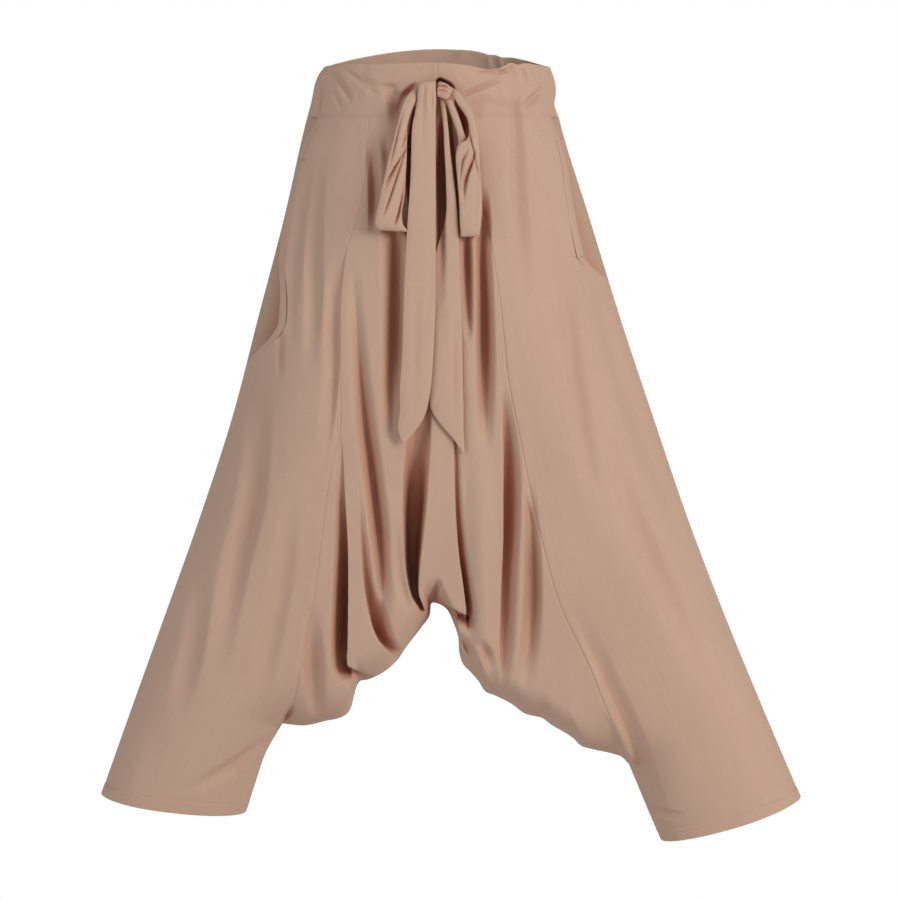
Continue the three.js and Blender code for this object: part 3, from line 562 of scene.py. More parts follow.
# %% Measures of the surface
NO_EDGE = 1e6  # stands for a place that is far from any lower edge
SEAM_GROOVE = 0.7  # how deep a seam draws the cloth in
SEAM_GROOVE_WIDTH = 1.1
SEAM_WELT = 0.3  # how far its turned edges lift the leg beside it
SEAM_WELT_WIDTH = 5
SEAM_FADE = 8  # length over which a seam's groove fades at the top of the inner leg
FOLD_ROOM = 0.82  # the deepest that a fold may reach, as a share of the way to the middle
WEB_FULLNESS = 0.75  # below 1, the cloth stays full closer to its lower edge
SEAM_SHADE = 0.16  # how much painted shade darkens each seam's groove
FOLD_START = 5  # a fold shallower than this gets no painted shade
FOLD_SHADE = 34  # depth beyond it at which a fold's painted shade is at its deepest
BROAD_SWELL = {"height": 0.9, "wide": 38, "long": 150, "front": 3, "back": 5}
SMALL_SWELL = {"height": 0.35, "wide": 13, "long": 60, "front": 7, "back": 9}
WAIST_SWELL = {"height": 0.5, "wide": 8, "long": 9, "front": 13, "back": 15}  # puckers near the band
WAIST_SWELL_END = 100  # drop at which the puckers have died away
WAIST_SWELL_FADE = 50
SWELL_EASE = 24  # distance from the lower edge over which the swells fade in
EDGE_EASE = 20  # distance from the side seam over which the folds fade in
WEB_EASE = 5  # the same from the lower edge
SLIDE_EASE = 12  # the same for a fold's overhang
SHADE_EASE = 20  # the same for the painted shade in a fold
print("a seam is", SEAM_GROOVE, "mm deep and", SEAM_GROOVE_WIDTH * 2, "mm wide")


# %% Placing the cloth
def seam_groove(x, drop):
    """How far the two long seams draw the cloth in, less the low welt on the leg's side of each."""
    sunk = np.zeros(x.shape)
    for name, leg in LEGS.items():
        away = leg["side"] * x - smooth(SEAMS, "drop", name, drop)
        welt = np.exp(-(((away - SEAM_WELT_WIDTH) / SEAM_WELT_WIDTH) ** 4))
        groove = SEAM_GROOVE * np.exp(-((away / SEAM_GROOVE_WIDTH) ** 2)) - SEAM_WELT * welt
        sunk += groove * ramp((leg["notch"] + SEAM_FADE / 2 - drop) / SEAM_FADE) * (drop > BAND_DROP)
    return sunk


def swelling(kind, face, x, drop):
    return kind["height"] * swell(kind[face], x, drop, kind["wide"], kind["long"])


def cloth_point(face, x, drop, inner, lift=0.0, web_round=SEAM_ROUND):
    """The cloth's surface at x and drop, in front or behind, and the painted shade of its folds and seams.
    `inner` is the distance in from the web's lower edge or the inner leg, and `lift` is an extra height.
    Folds never reach further in than FOLD_ROOM, however deep their lines add up to be."""
    x, drop = np.broadcast_arrays(np.asarray(x, float), np.asarray(drop, float))
    wide = np.where(x < 0, smooth(SECTION, "drop", "right", drop), smooth(SECTION, "drop", "left", drop))
    deep = smooth(SECTION, "drop", face, drop)
    radius = smooth(SECTION, "drop", "round", drop)
    edge = wide - np.abs(x)
    forward = -1.0 if face == "front" else 1.0
    y = forward * deep * rounded(edge, radius) * rounded(inner, web_round) ** WEB_FULLNESS
    lean = np.maximum(0, 1 - edge / radius) / radius
    normal = unit(np.stack([np.sign(x) * lean, forward * rounded(edge, radius) / deep], -1))
    depth, slide = fold_pull(FOLD_LINES[face], x, drop)
    room = FOLD_ROOM * np.abs(y) + 0.01
    depth = depth / (1 + (np.maximum(depth, 0) / room) ** 4) ** 0.25
    # painted shade: darker and redder as a fold deepens, and along the seams' grooves
    shade = ramp((depth - FOLD_START) / FOLD_SHADE) * ramp(inner / SHADE_EASE)
    depth -= swelling(BROAD_SWELL, face, x, drop) * ramp(inner / SWELL_EASE)
    depth -= swelling(SMALL_SWELL, face, x, drop) * ramp(inner / SWELL_EASE)
    depth -= swelling(WAIST_SWELL, face, x, drop) * ramp((WAIST_SWELL_END - drop) / WAIST_SWELL_FADE)
    seam = seam_groove(x, drop)
    shade = np.maximum(shade, SEAM_SHADE * ramp(seam / SEAM_GROOVE))
    out = np.asarray(lift, float) - depth * ramp(edge / EDGE_EASE) * ramp(inner / WEB_EASE) - seam
    slide = slide * ramp(edge / EDGE_EASE) * ramp(inner / SLIDE_EASE)
    return np.stack([x + normal[..., 0] * out + slide, y + normal[..., 1] * out, -drop], -1), shade


waist, _ = cloth_point("front", np.array([0.0]), np.array([100.0]), NO_EDGE)
print("100 mm down its middle the front is", round(-waist[0, 1], 1), "mm ahead of the origin")


# %% Meshes from grids
def link_mesh(name, points, faces, uvs, material, shade):
    """A smooth mesh with a UV map called cloth and an attribute called fold, which holds its painted shade.
    """
    mesh = bpy.data.meshes.new(name)
    mesh.from_pydata((points * MM).tolist(), [], faces)
    layer = mesh.uv_layers.new(name="cloth")
    corner = np.zeros(len(mesh.loops), int)
    mesh.loops.foreach_get("vertex_index", corner)
    layer.data.foreach_set("uv", (uvs[corner] * MM).astype(np.float32).ravel())
    mesh.attributes.new("fold", "FLOAT", "POINT").data.foreach_set("value", shade.astype(np.float32))
    mesh.shade_smooth()
    mesh.validate()
    mesh.materials.append(material)
    piece = bpy.data.objects.new(name, mesh)
    bpy.context.scene.collection.objects.link(piece)
    return piece


def grid_faces(rows, columns, turned=False):
    """Quads over a grid whose rows run down and whose columns run to the wearer's left."""
    a = (np.arange(rows - 1)[:, None] * columns + np.arange(columns - 1)[None, :]).ravel()
    corners = [a, a + columns, a + columns + 1, a + 1]
    if turned:
        corners.reverse()
    return np.stack(corners, -1).tolist()


def grid_piece(name, grid, material, shade, turned=False):
    """A sheet of cloth over a grid of points, with a UV map as long and wide as the cloth itself and
    an attribute that says how much painted shade each point gets."""
    rows, columns = grid.shape[:2]
    across = np.linalg.norm(np.diff(grid, axis=1), axis=-1)
    along = np.linalg.norm(np.diff(grid, axis=0), axis=-1).mean(1)
    u = np.concatenate([np.zeros((rows, 1)), np.cumsum(across, 1)], 1)
    u = u - u[:, columns // 2 : columns // 2 + 1]
    v = np.broadcast_to(np.concatenate([[0], np.cumsum(along)])[:, None], u.shape)
    uv = np.stack([u, -v], -1)
    faces = grid_faces(rows, columns, turned)
    return link_mesh(name, grid.reshape(-1, 3), faces, uv.reshape(-1, 2), material, shade.ravel())


def describe(piece):
    area = sum(p.area for p in piece.data.polygons)
    print(piece.name, len(piece.data.polygons) * 2, "triangles,", round(area, 4), "m2")


print("a grid of 3 by 3 points has", len(grid_faces(3, 3)), "faces")

# %% [markdown]
# ## Woven cloth
#
# The cloth is a fine plain weave of a soft, matt yarn. Close up, threads pass over and under each
# other, and some are a little thicker. From a step away it is almost even, with faint streaks along
# the threads. One node group draws the weave from the UV map, which is in real metres of cloth, and
# each cloth material uses the group with colours of its own.
#
# Light that has gone back and forth between layers of cloth comes out warmer. A path tracer finds that
# by itself only with many bounces, so the material paints that shade in: it mixes in a darker, redder
# colour where the cloth is hidden by cloth close by, and by how deep in a fold it lies.


# %% Helpers for node trees
def socket(group, name, kind, way, value=None):
    made = group.interface.new_socket(name=name, in_out=way, socket_type=kind)
    if value is not None:
        made.default_value = value


def math_node(nodes, links, operation, a, b=None):
    node = nodes.new("ShaderNodeMath")
    node.operation = operation
    for slot, value in enumerate((a, b)):
        if value is None:
            continue
        if isinstance(value, (int, float)):
            node.inputs[slot].default_value = value
        else:
            links.new(value, node.inputs[slot])
    return node.outputs[0]


print("helpers ready:", socket.__name__, "and", math_node.__name__)

# %% Weave group
THREADS = 2200.0  # in a metre of cloth, either way
STREAK_SCALES = ((900.0, 18.0, 1.0), (16.0, 800.0, 1.0), (240.0, 5.0, 1.0))  # across and along


def weave_group():
    """Threads that pass over and under each other, and streaks where some are thicker."""
    group = bpy.data.node_groups.new("plain weave", "ShaderNodeTree")
    socket(group, "Cloth", "NodeSocketVector", "INPUT")
    socket(group, "Threads per metre", "NodeSocketFloat", "INPUT", THREADS)
    socket(group, "Streaks", "NodeSocketFloat", "INPUT", 0.5)
    socket(group, "Height", "NodeSocketFloat", "OUTPUT")
    socket(group, "Tone", "NodeSocketFloat", "OUTPUT")
    nodes, links = group.nodes, group.links
    start, end = nodes.new("NodeGroupInput"), nodes.new("NodeGroupOutput")
    parts = nodes.new("ShaderNodeSeparateXYZ")
    links.new(start.outputs["Cloth"], parts.inputs[0])
    threads = start.outputs["Threads per metre"]
    warp = math_node(nodes, links, "MULTIPLY", parts.outputs["X"], threads)
    weft = math_node(nodes, links, "MULTIPLY", parts.outputs["Y"], threads)
    round_of = lambda at: math_node(
        nodes, links, "ABSOLUTE",
        math_node(nodes, links, "SINE", math_node(nodes, links, "MULTIPLY", at, math.pi)),
    )
    cell = math_node(
        nodes, links, "ADD",
        math_node(nodes, links, "FLOOR", warp), math_node(nodes, links, "FLOOR", weft),
    )
    over = math_node(nodes, links, "ABSOLUTE", math_node(nodes, links, "MODULO", cell, 2.0))
    choose = nodes.new("ShaderNodeMix")
    choose.data_type = "FLOAT"
    links.new(over, choose.inputs["Factor"])
    links.new(round_of(warp), choose.inputs["A"])
    links.new(round_of(weft), choose.inputs["B"])
    links.new(choose.outputs["Result"], end.inputs["Height"])
    tones = []
    for scale in STREAK_SCALES:
        stretch = nodes.new("ShaderNodeVectorMath")
        stretch.operation = "MULTIPLY"
        links.new(start.outputs["Cloth"], stretch.inputs[0])
        stretch.inputs[1].default_value = scale
        noise = nodes.new("ShaderNodeTexNoise")
        noise.inputs["Scale"].default_value = 1.0
        noise.inputs["Detail"].default_value = 2.0
        links.new(stretch.outputs[0], noise.inputs["Vector"])
        tones.append(noise.outputs["Fac"])
    threads_tone = math_node(nodes, links, "ADD", tones[0], tones[1])
    all_tones = math_node(nodes, links, "ADD", threads_tone, tones[2])
    centred = math_node(nodes, links, "SUBTRACT", all_tones, len(STREAK_SCALES) / 2)
    tone = math_node(nodes, links, "MULTIPLY", centred, start.outputs["Streaks"])
    links.new(tone, end.inputs["Tone"])
    return group


WEAVE = weave_group()
print("the weave has", len(WEAVE.nodes), "nodes")


# %% Cloth materials
WEAVE_HEIGHT = 0.00008  # metres
STREAKS = 0.36
PATCHES = 0.7  # how far the tone wanders from place to place
DARK_SHARE = 0.4
CLOSE_REACH = 0.06  # metres within which nearby cloth darkens the colour, as painted shade
# how strongly nearby cloth paints shade into the colour
CLOSE_SHADE = 1.3
OPEN_ENOUGH = 0.86  # cloth that's at least this open gets no painted shade
# how much painted shade the deepest folds get
PAINTED_FOLD_SHADE = 0.55
PAINTED_SHADE_COLOUR = (0.43, 0.15, 0.08)  # painted shade for folds and hollows, darker and redder, as light that has passed through and between layers is


def cloth_material(name, light, dark):
    material = bpy.data.materials.new(name)
    material.use_nodes = True
    nodes, links = material.node_tree.nodes, material.node_tree.links
    shader = nodes["Principled BSDF"]
    shader.inputs["Roughness"].default_value = 0.82
    shader.inputs["Specular IOR Level"].default_value = 0.25
    shader.inputs["Sheen Weight"].default_value = 0.12
    shader.inputs["Sheen Roughness"].default_value = 0.45
    uv = nodes.new("ShaderNodeUVMap")
    uv.uv_map = "cloth"
    weave = nodes.new("ShaderNodeGroup")
    weave.node_tree = WEAVE
    weave.inputs["Streaks"].default_value = STREAKS
    links.new(uv.outputs[0], weave.inputs["Cloth"])
    place = nodes.new("ShaderNodeTexCoord")
    patches = nodes.new("ShaderNodeTexNoise")
    patches.inputs["Scale"].default_value = 7.0
    patches.inputs["Detail"].default_value = 3.0
    links.new(place.outputs["Object"], patches.inputs["Vector"])
    amount = math_node(nodes, links, "SUBTRACT", patches.outputs["Fac"], 0.5)
    amount = math_node(nodes, links, "MULTIPLY", amount, PATCHES)
    amount = math_node(nodes, links, "ADD", amount, weave.outputs["Tone"])
    amount = math_node(nodes, links, "ADD", amount, DARK_SHARE)
    colour = nodes.new("ShaderNodeMix")
    colour.data_type = "RGBA"
    colour.inputs[6].default_value = (*light, 1)
    colour.inputs[7].default_value = (*dark, 1)
    links.new(amount, colour.inputs["Factor"])
    # painted shade: the fold attribute holds how much shade the folds, seams, creases and facings get
    fold = nodes.new("ShaderNodeAttribute")
    fold.attribute_name = "fold"
    # painted contact shade: where other cloth lies close by, the colour darkens towards the shade colour
    close = nodes.new("ShaderNodeAmbientOcclusion")
    close.samples = 6
    close.inputs["Distance"].default_value = CLOSE_REACH
    hidden = math_node(nodes, links, "SUBTRACT", OPEN_ENOUGH, close.outputs["AO"])
    hidden = math_node(nodes, links, "MULTIPLY", hidden, CLOSE_SHADE)
    deep = math_node(nodes, links, "MULTIPLY", fold.outputs["Fac"], PAINTED_FOLD_SHADE)
    depth = math_node(nodes, links, "MAXIMUM", hidden, deep)
    depth = math_node(nodes, links, "MINIMUM", depth, 1.0)
    painted_shade_mix = nodes.new("ShaderNodeMix")
    painted_shade_mix.data_type = "RGBA"
    painted_shade_mix.inputs[7].default_value = (*PAINTED_SHADE_COLOUR, 1)
    links.new(depth, painted_shade_mix.inputs["Factor"])
    links.new(colour.outputs[2], painted_shade_mix.inputs[6])
    links.new(painted_shade_mix.outputs[2], shader.inputs["Base Color"])
    bump = nodes.new("ShaderNodeBump")
    bump.inputs["Strength"].default_value = 0.5
    bump.inputs["Distance"].default_value = WEAVE_HEIGHT
    links.new(weave.outputs["Height"], bump.inputs["Height"])
    links.new(bump.outputs[0], shader.inputs["Normal"])
    return material


CLOTH_LIGHT = (0.53, 0.353, 0.262)
CLOTH_DARK = (0.45, 0.293, 0.213)
cloth = cloth_material("woven cloth", CLOTH_LIGHT, CLOTH_DARK)
# the facings' cloth is the same cloth made a little darker, as painted shade for the inside of the pocket
shaded_pocket_cloth = cloth_material("shaded pocket cloth", (0.47, 0.305, 0.22), (0.40, 0.255, 0.18))
tie_cloth = cloth_material("tie cloth", CLOTH_LIGHT, CLOTH_DARK)
print("cloths:", ", ".join(material.name for material in (cloth, shaded_pocket_cloth, tie_cloth)))

# %% [markdown]
# ## The centre panel
#
# One length of cloth hangs from the front waistband, passes under between the legs and goes up to the
# back waistband. Its columns follow the crisp edges of the pleats, and crowd together there, so that
# a sharp edge stays sharp.

# %% Lines of the centre panel
GUIDE_NAMES = ["seam_pleat", "pleat", "lens", "tongue", "line", "wedge", "left_pleat"]
GUIDES = table(["drop", *GUIDE_NAMES], [
    [66, -75, -60, -40, -20, -2, 22, 32],
    [200, -84, -70, -46, -24, 10, 46, 52],
    [320, -102, -84, -46, -18, 20, 72, 82],
    [440, -114, -94, -42, -13, 22, 81, 92],
    [560, -110, -91, -40, -13, 26, 82, 110],
    [640, -110, -84, -31, -21, 35, 82, 122],
    [700, -112, -72, -20, -10, 38, 81, 118],
    [770, -112, -56, -12, -2, 36, 80, 112],
])
GUIDE_END_X = [-193, -104, -50, -14, -6, 33, 80, 112, 241]  # where each meets the web's lower edge
GUIDE_COLUMNS = [36, 36, 38, 24, 38, 34, 26, 38]
GUIDE_CROWDING = 0.55  # how far columns move towards their guide, from evenly spread at 0
BEND_START = 0.6  # share of the way down at which the columns begin to bend to where they end
FRONT_ROWS, FRONT_ROUND_ROWS = 210, 50
BACK_ROWS, BACK_ROUND_ROWS = 70, 30
SEAM_END = 850  # drop, about where the long seams end
SEAM_ROUND_REACH = 60  # width beside the seams over which the lower edge's rounding changes


print(sum(GUIDE_COLUMNS) + 1, "columns between", len(GUIDE_COLUMNS) + 1, "guides")


# %% Rows and columns of the centre panel
def web_curve():
    """The web's lower edge, with how far along it each row is."""
    step = np.hypot(np.diff(WEB_EDGE["x"]), np.diff(WEB_EDGE["drop"]))
    share = np.concatenate([[0], np.cumsum(step)]) / step.sum()
    return {**WEB_EDGE, "share": share}


WEB_CURVE = web_curve()


def guide_x(guide, drop):
    """Where a guide runs: the first and the last are the seams, and the others follow pleats."""
    if guide == 0:
        return -smooth(SEAMS, "drop", "right", drop)
    if guide > len(GUIDE_NAMES):
        return smooth(SEAMS, "drop", "left", drop)
    return smooth(GUIDES, "drop", GUIDE_NAMES[guide - 1], drop)


def seam_shares(rows, round_rows):
    """How far down the seam each row is, with rows crowded where the lower edge rounds away."""
    round_share = SEAM_ROUND / (SEAM_END - BAND_DROP)
    flat = np.arange(rows) / rows * (1 - round_share)
    turn = np.arange(round_rows + 1) / round_rows * (math.pi / 2)
    return np.concatenate([flat, 1 - round_share * (1 - np.sin(turn))])


# %% Centre panel
def centre_grid(face, v):
    """Points of the centre panel in rows at the shares v down to its lower edge."""
    columns = []
    for guide, count in enumerate(GUIDE_COLUMNS):
        ends = np.interp(GUIDE_END_X[guide : guide + 2], WEB_CURVE["x"], WEB_CURVE["share"])
        last = guide == len(GUIDE_COLUMNS) - 1
        for k in range(count + last):
            even = k / count
            t = mix(even, (1 - math.cos(math.pi * even)) / 2, GUIDE_CROWDING)
            end = mix(*ends, t)
            end_x = smooth(WEB_CURVE, "share", "x", end)
            end_drop = smooth(WEB_CURVE, "share", "drop", end)
            line = lambda at: mix(guide_x(guide, at), guide_x(guide + 1, at), t)
            drop = mix(BAND_DROP, end_drop, v)
            bend = (end_x - line(end_drop)) * ramp((v - BEND_START) / (1 - BEND_START))
            columns.append((line(drop) + bend, drop, end_drop - drop))
    x, drop, inner = (np.stack(part, 1) for part in zip(*columns))
    from_seam = np.minimum(x - x[:, :1], x[:, -1:] - x)
    web_round = mix(SEAM_ROUND, WEB_ROUND, ramp(from_seam / SEAM_ROUND_REACH))
    return cloth_point(face, x, drop, inner, web_round=web_round)


front, front_shade = centre_grid("front", seam_shares(FRONT_ROWS, FRONT_ROUND_ROWS))
back, back_shade = centre_grid("back", seam_shares(BACK_ROWS, BACK_ROUND_ROWS)[:-1][::-1])
both, both_shade = np.concatenate([front, back]), np.concatenate([front_shade, back_shade])
centre_panel = grid_piece("centre_panel_cloth", both, cloth, both_shade)
describe(centre_panel)

# %% [markdown]
# ## The legs
#
# Each leg is a front and a back panel, joined at the side and inside the leg. The front stops short of
# the side seam at the pocket, where its edge is turned back and gapes. A turned edge is made of real
# cloth: the last row of the grid goes round a small half circle and back inside, as in a folded hem.

# %% Measures of the legs and pockets
POCKET_LIFT = 3.5  # how far the pocket's front edge stands out
POCKET_LIFT_WIDTH = 28
POCKET_LIFT_START = 40  # length below the waistband over which it begins to
POCKET_TUCK = 16  # width of the facing that is hidden behind the front
POCKET_TURN = 12  # width turned back inside the pocket's front edge
POCKET_CLOSE = {"right": 66, "left": 42}  # length over which each pocket's lower end closes
CLOSE_EARLY = 0.3  # share of that length by which it begins above the pocket's end
EDGE_CROWDING = 0.5  # how far the front's columns follow the pocket's edge
SEAM_CROWDING = 0.8  # how far columns crowd towards the seams, from evenly spread at 0
HEM_SOFTEN = 2  # height over which the hem's step rises
HEM_GROOVE_WIDTH = 1.3
NOTCH_EASE = 26  # softens the turn of the surface where the inside of the leg begins
FACING_SINK = {"right": 20, "left": 7}  # how far behind the front a facing lies, where it gapes
# how much painted shade each facing gets beside the pocket's edge, where its inside lies in shadow
FACING_SHADE = {"right": 1.0, "left": 0.5}
FACING_END = 1.1  # how far down a facing goes, as a share of the length over which its pocket closes
POCKETS = {
    "right": {"end": 333, "edge": table(["drop", "x"], [
        [66, 146], [106, 163], [166, 179], [215, 189], [250, 191], [276, 190], [310, 191], [333, 194]])},
    "left": {"end": 245, "edge": table(["drop", "x"], [
        [66, 142], [87, 149], [124, 158], [166, 165], [209, 173], [245, 181]])},
}
LEG_COLUMNS = {"front": 110, "back": 60}
LEG_ROWS = {"front": (230, 30, 60), "back": (90, 16, 36)}


print("rows of a leg's front:", sum(LEG_ROWS["front"]) + 1)


# %% Rows of a leg
def leg_rows(name, v):
    """Where each row of a leg starts and ends. v is 0 at the waistband, 1 at the notch, 2 at the hem."""
    leg = LEGS[name]
    below, above = np.maximum(0, v - 1), np.minimum(1, v)
    inner_leg = table(["at", "x"], [[i / 3, x] for i, x in enumerate(leg["inner"])])
    inner_drop = mix(mix(BAND_DROP, leg["notch"], above), leg["hem_inner"], below)
    outer_drop = mix(mix(BAND_DROP, leg["notch_outer"], above), leg["hem_outer"], below)
    inner_x = np.where(
        below > 0, smooth(inner_leg, "at", "x", below), smooth(SEAMS, "drop", name, inner_drop)
    )
    outer_x = smooth(SECTION, "drop", name, outer_drop)
    return {
        "side": leg["side"], "below": below, "above": np.maximum(0, leg["notch"] - inner_drop),
        "inner_x": inner_x, "inner_drop": inner_drop, "outer_x": outer_x, "outer_drop": outer_drop,
    }


def front_share(name, row):
    """Where the front of a leg ends at its outer side, and how open its pocket is, from 0 to 1. Along
    the pocket it ends short of the side seam."""
    pocket = POCKETS[name]
    x = smooth(pocket["edge"], "drop", "x", row["outer_drop"])
    share = (x - row["inner_x"]) / (row["outer_x"] - row["inner_x"])
    closed = ramp((row["outer_drop"] - pocket["end"]) / POCKET_CLOSE[name] + CLOSE_EARLY)
    return mix(np.minimum(1, share), 1, closed), 1 - closed


def leg_place(row, share):
    """x, drop and distance in from the inner edge, on rows down and columns across."""
    col = {k: (v[:, None] if isinstance(v, np.ndarray) else v) for k, v in row.items()}
    sag = HEM_SAG * col["below"] * 4 * share * (1 - share)
    x = mix(col["inner_x"], col["outer_x"], share)
    drop = mix(col["inner_drop"], col["outer_drop"], share) + sag
    across = share * (col["outer_x"] - col["inner_x"])
    ease = NOTCH_EASE * ramp(across / NOTCH_EASE / 2)
    return col["side"] * x, drop, np.hypot(col["above"], ease) - ease + across


def column_share(k):
    """Columns crowded towards both edges, where the seams are."""
    return mix(k, (1 - np.cos(np.pi * k)) / 2, SEAM_CROWDING)


print("rows at the waistband, notch and hem:", leg_rows("left", np.array([0.0, 1.0, 2.0]))["inner_drop"])

# %% Turned edges
TURN_STEPS = 5
TURN_SHARES = (0.3, 0.65, 1.0)  # rows of the part that's folded back


def turned_edge(points, outside, depth):
    """A grid with its last row folded over and back inside, `depth` mm up. `outside` says which way
    the cloth faces: a direction that has a part out of the garment."""
    end = points[-1]
    along = unit(points[-2] - points[-1])
    normal = unit(np.cross(points[-4] - points[-1], np.gradient(end, axis=0)))
    inward = normal * -np.sign(normal @ np.array(outside, float))[:, None]
    rows = []
    for k in range(1, TURN_STEPS + 1):
        turn = math.pi * k / TURN_STEPS
        rows.append(end - along * CLOTH / 2 * math.sin(turn) + inward * CLOTH / 2 * (1 - math.cos(turn)))
    for share in TURN_SHARES:
        rows.append(end + inward * CLOTH + along * depth * share)
    return np.concatenate([points, np.stack(rows)])


print("a turned edge adds", TURN_STEPS + len(TURN_SHARES), "rows")


# %% Leg panels
def leg_panel(name, face):
    """The front or the back of a leg, with its hem and the pocket's front edge turned inside."""
    side = LEGS[name]["side"]
    forward = -1 if face == "front" else 1
    seam_rows, round_rows, lower_rows = LEG_ROWS[face]
    seam = seam_shares(seam_rows, round_rows)
    v = np.concatenate([seam, 1 + np.arange(1, lower_rows + 1) / lower_rows])
    row = leg_rows(name, v)
    end, gaping = front_share(name, row) if face == "front" else (np.ones(len(v)), np.zeros(len(v)))
    end = end[:, None]
    k = np.linspace(0, 1, LEG_COLUMNS[face] + 1)[None, :]
    full = column_share(k)
    share = np.where(end < 1, mix(full, k, EDGE_CROWDING) * end, full)
    x, drop, inner = leg_place(row, share)
    from_edge = (end - share) * (row["outer_x"] - row["inner_x"])[:, None]
    gaping = gaping * ramp((row["outer_drop"] - BAND_DROP) / POCKET_LIFT_START)
    lift = POCKET_LIFT * ramp(1 - from_edge / POCKET_LIFT_WIDTH) * gaping[:, None]
    from_hem = ((2 - v) * (LEGS[name]["hem_inner"] - LEGS[name]["notch"]))[:, None]
    hem = HEM_STEP * ramp((HEM_TURN - from_hem) / HEM_SOFTEN)
    hem = hem - HEM_GROOVE * np.exp(-(((from_hem - HEM_TURN) / HEM_GROOVE_WIDTH) ** 2))
    lift = lift + hem * ramp(inner / HEM_EASE)
    grid, shade = cloth_point(face, x, drop, inner, lift)
    SURFACES[name, face] = grid
    grid = turned_edge(grid, (0, forward, 0), HEM_TURN)
    if face == "front":
        grid = turned_edge(grid.swapaxes(0, 1), (side, -0.3, 0), POCKET_TURN).swapaxes(0, 1)
    more = [(0, grid.shape[i] - shade.shape[i]) for i in (0, 1)]
    shade = np.pad(shade, more, mode="edge")
    turned = (side < 0) != (face == "back")
    piece = grid_piece(f"leg_{face}_{name}_cloth", grid, cloth, shade, turned)
    describe(piece)
    return piece


SURFACES = {}  # the outer surface of each piece that is sewn, for the stitching
legs = {(name, face): leg_panel(name, face) for name in LEGS for face in ("front", "back")}

# %% [markdown]
# ## The pocket facings
#
# Behind each pocket's open edge a strip of the same cloth shows, the facing of the pocket bag. It
# starts hidden under the front, sinks behind it where the pocket gapes and comes up again to meet the
# side seam. It is placed with the same rows as the leg, so it ends exactly on that seam.

# %% Pocket facings
FACING_ROWS, FACING_COLUMNS = 90, 24
FACING_CROWDING = 1.6  # above 1, its columns crowd towards the side seam
FACING_BEHIND = 1.9  # how far behind the front a facing lies all along


def pocket_facing(name):
    """The strip of cloth that shows behind a gaping pocket, from under the front to the side seam."""
    end = POCKETS[name]["end"] + POCKET_CLOSE[name] * FACING_END
    last = (end - BAND_DROP) / (LEGS[name]["notch"] - BAND_DROP)
    row = leg_rows(name, np.linspace(0, last, FACING_ROWS))
    wide = row["outer_x"] - row["inner_x"]
    start = (front_share(name, row)[0] - POCKET_TUCK / wide)[:, None]
    t = np.linspace(0, 1, FACING_COLUMNS)[None, :]
    x, drop, inner = leg_place(row, mix(start, 1, 1 - (1 - t) ** FACING_CROWDING))
    down = np.linspace(0, 1, FACING_ROWS)[:, None]
    # sunk behind the front across most of its width, deepest halfway down, and level at the side seam
    behind = -FACING_BEHIND * ramp((1 - t) / 0.45)
    behind = behind - FACING_SINK[name] * ramp((1 - t) / 0.6) * ramp(down / 0.5) * ramp((1 - down) / 0.2)
    grid, _ = cloth_point("front", x, drop, inner, behind)
    # painted shade: darkest beside the pocket's edge, fading towards the side seam and at both ends
    shade = FACING_SHADE[name] * ramp((0.8 - t) / 0.25) * ramp(down / 0.4) * ramp((1 - down) / 0.15)
    turned = LEGS[name]["side"] < 0
    piece = grid_piece(f"pocket_facing_{name}_cloth", grid, shaded_pocket_cloth, shade, turned)
    describe(piece)
    return piece


facings = {name: pocket_facing(name) for name in LEGS}

# %% [markdown]
# ## The waistband
#
# A wide band is folded over at the top edge, so it has an outer and an inner layer. It is a front in
# two halves and a back. Fine creases run from the tie and from the side seams.


# %% Measures of the waistband
TOP_DIP = {  # how far the top edge sags where the band is gathered
    "front": table(["x", "drop"], [
        [-141, 0], [-125, -1.5], [-97, -1], [-62, 0.5], [-30, 0], [2, 0], [23, 1], [43, 3.5], [58, 6.5],
        [68, 7], [80, 4], [92, -2], [100, 0], [107, -2], [124, -1], [139, 0]]),
    "back": table(["x", "drop"], [
        [-140, 0], [-60, 0.5], [20, 0], [56, 0], [68, 1.6], [76, 0.8], [84, 2], [94, 0.3], [138, 0]]),
}
BAND_BULGE = table(["drop", "right", "left"], [  # how far the band's sides stand out
    [-20, -7, -3], [0, -5, 0], [15, 1, 3], [26, 2, 4], [38, 1, 2], [51, 0, -2], [60, 0, -1], [66, 0, 0]])
BAND_SEAM_WIDTH = 1.6
# painted shade that darkens the band a little, coming in over BAND_SHADE_DROP below its top edge
BAND_SHADE = 0.03
BAND_SHADE_DROP = 30
BAND_LAYERS = ((0.0, np.linspace(1, 0, 60)), (CLOTH * 2, np.linspace(0, 0.94, 36)))
BAND_EDGE_ROLL = 3  # width over which the folded top edge rolls in


print("the band is", BAND_DROP, "mm deep in front and", BAND_DROP + BACK_RISE, "mm behind")


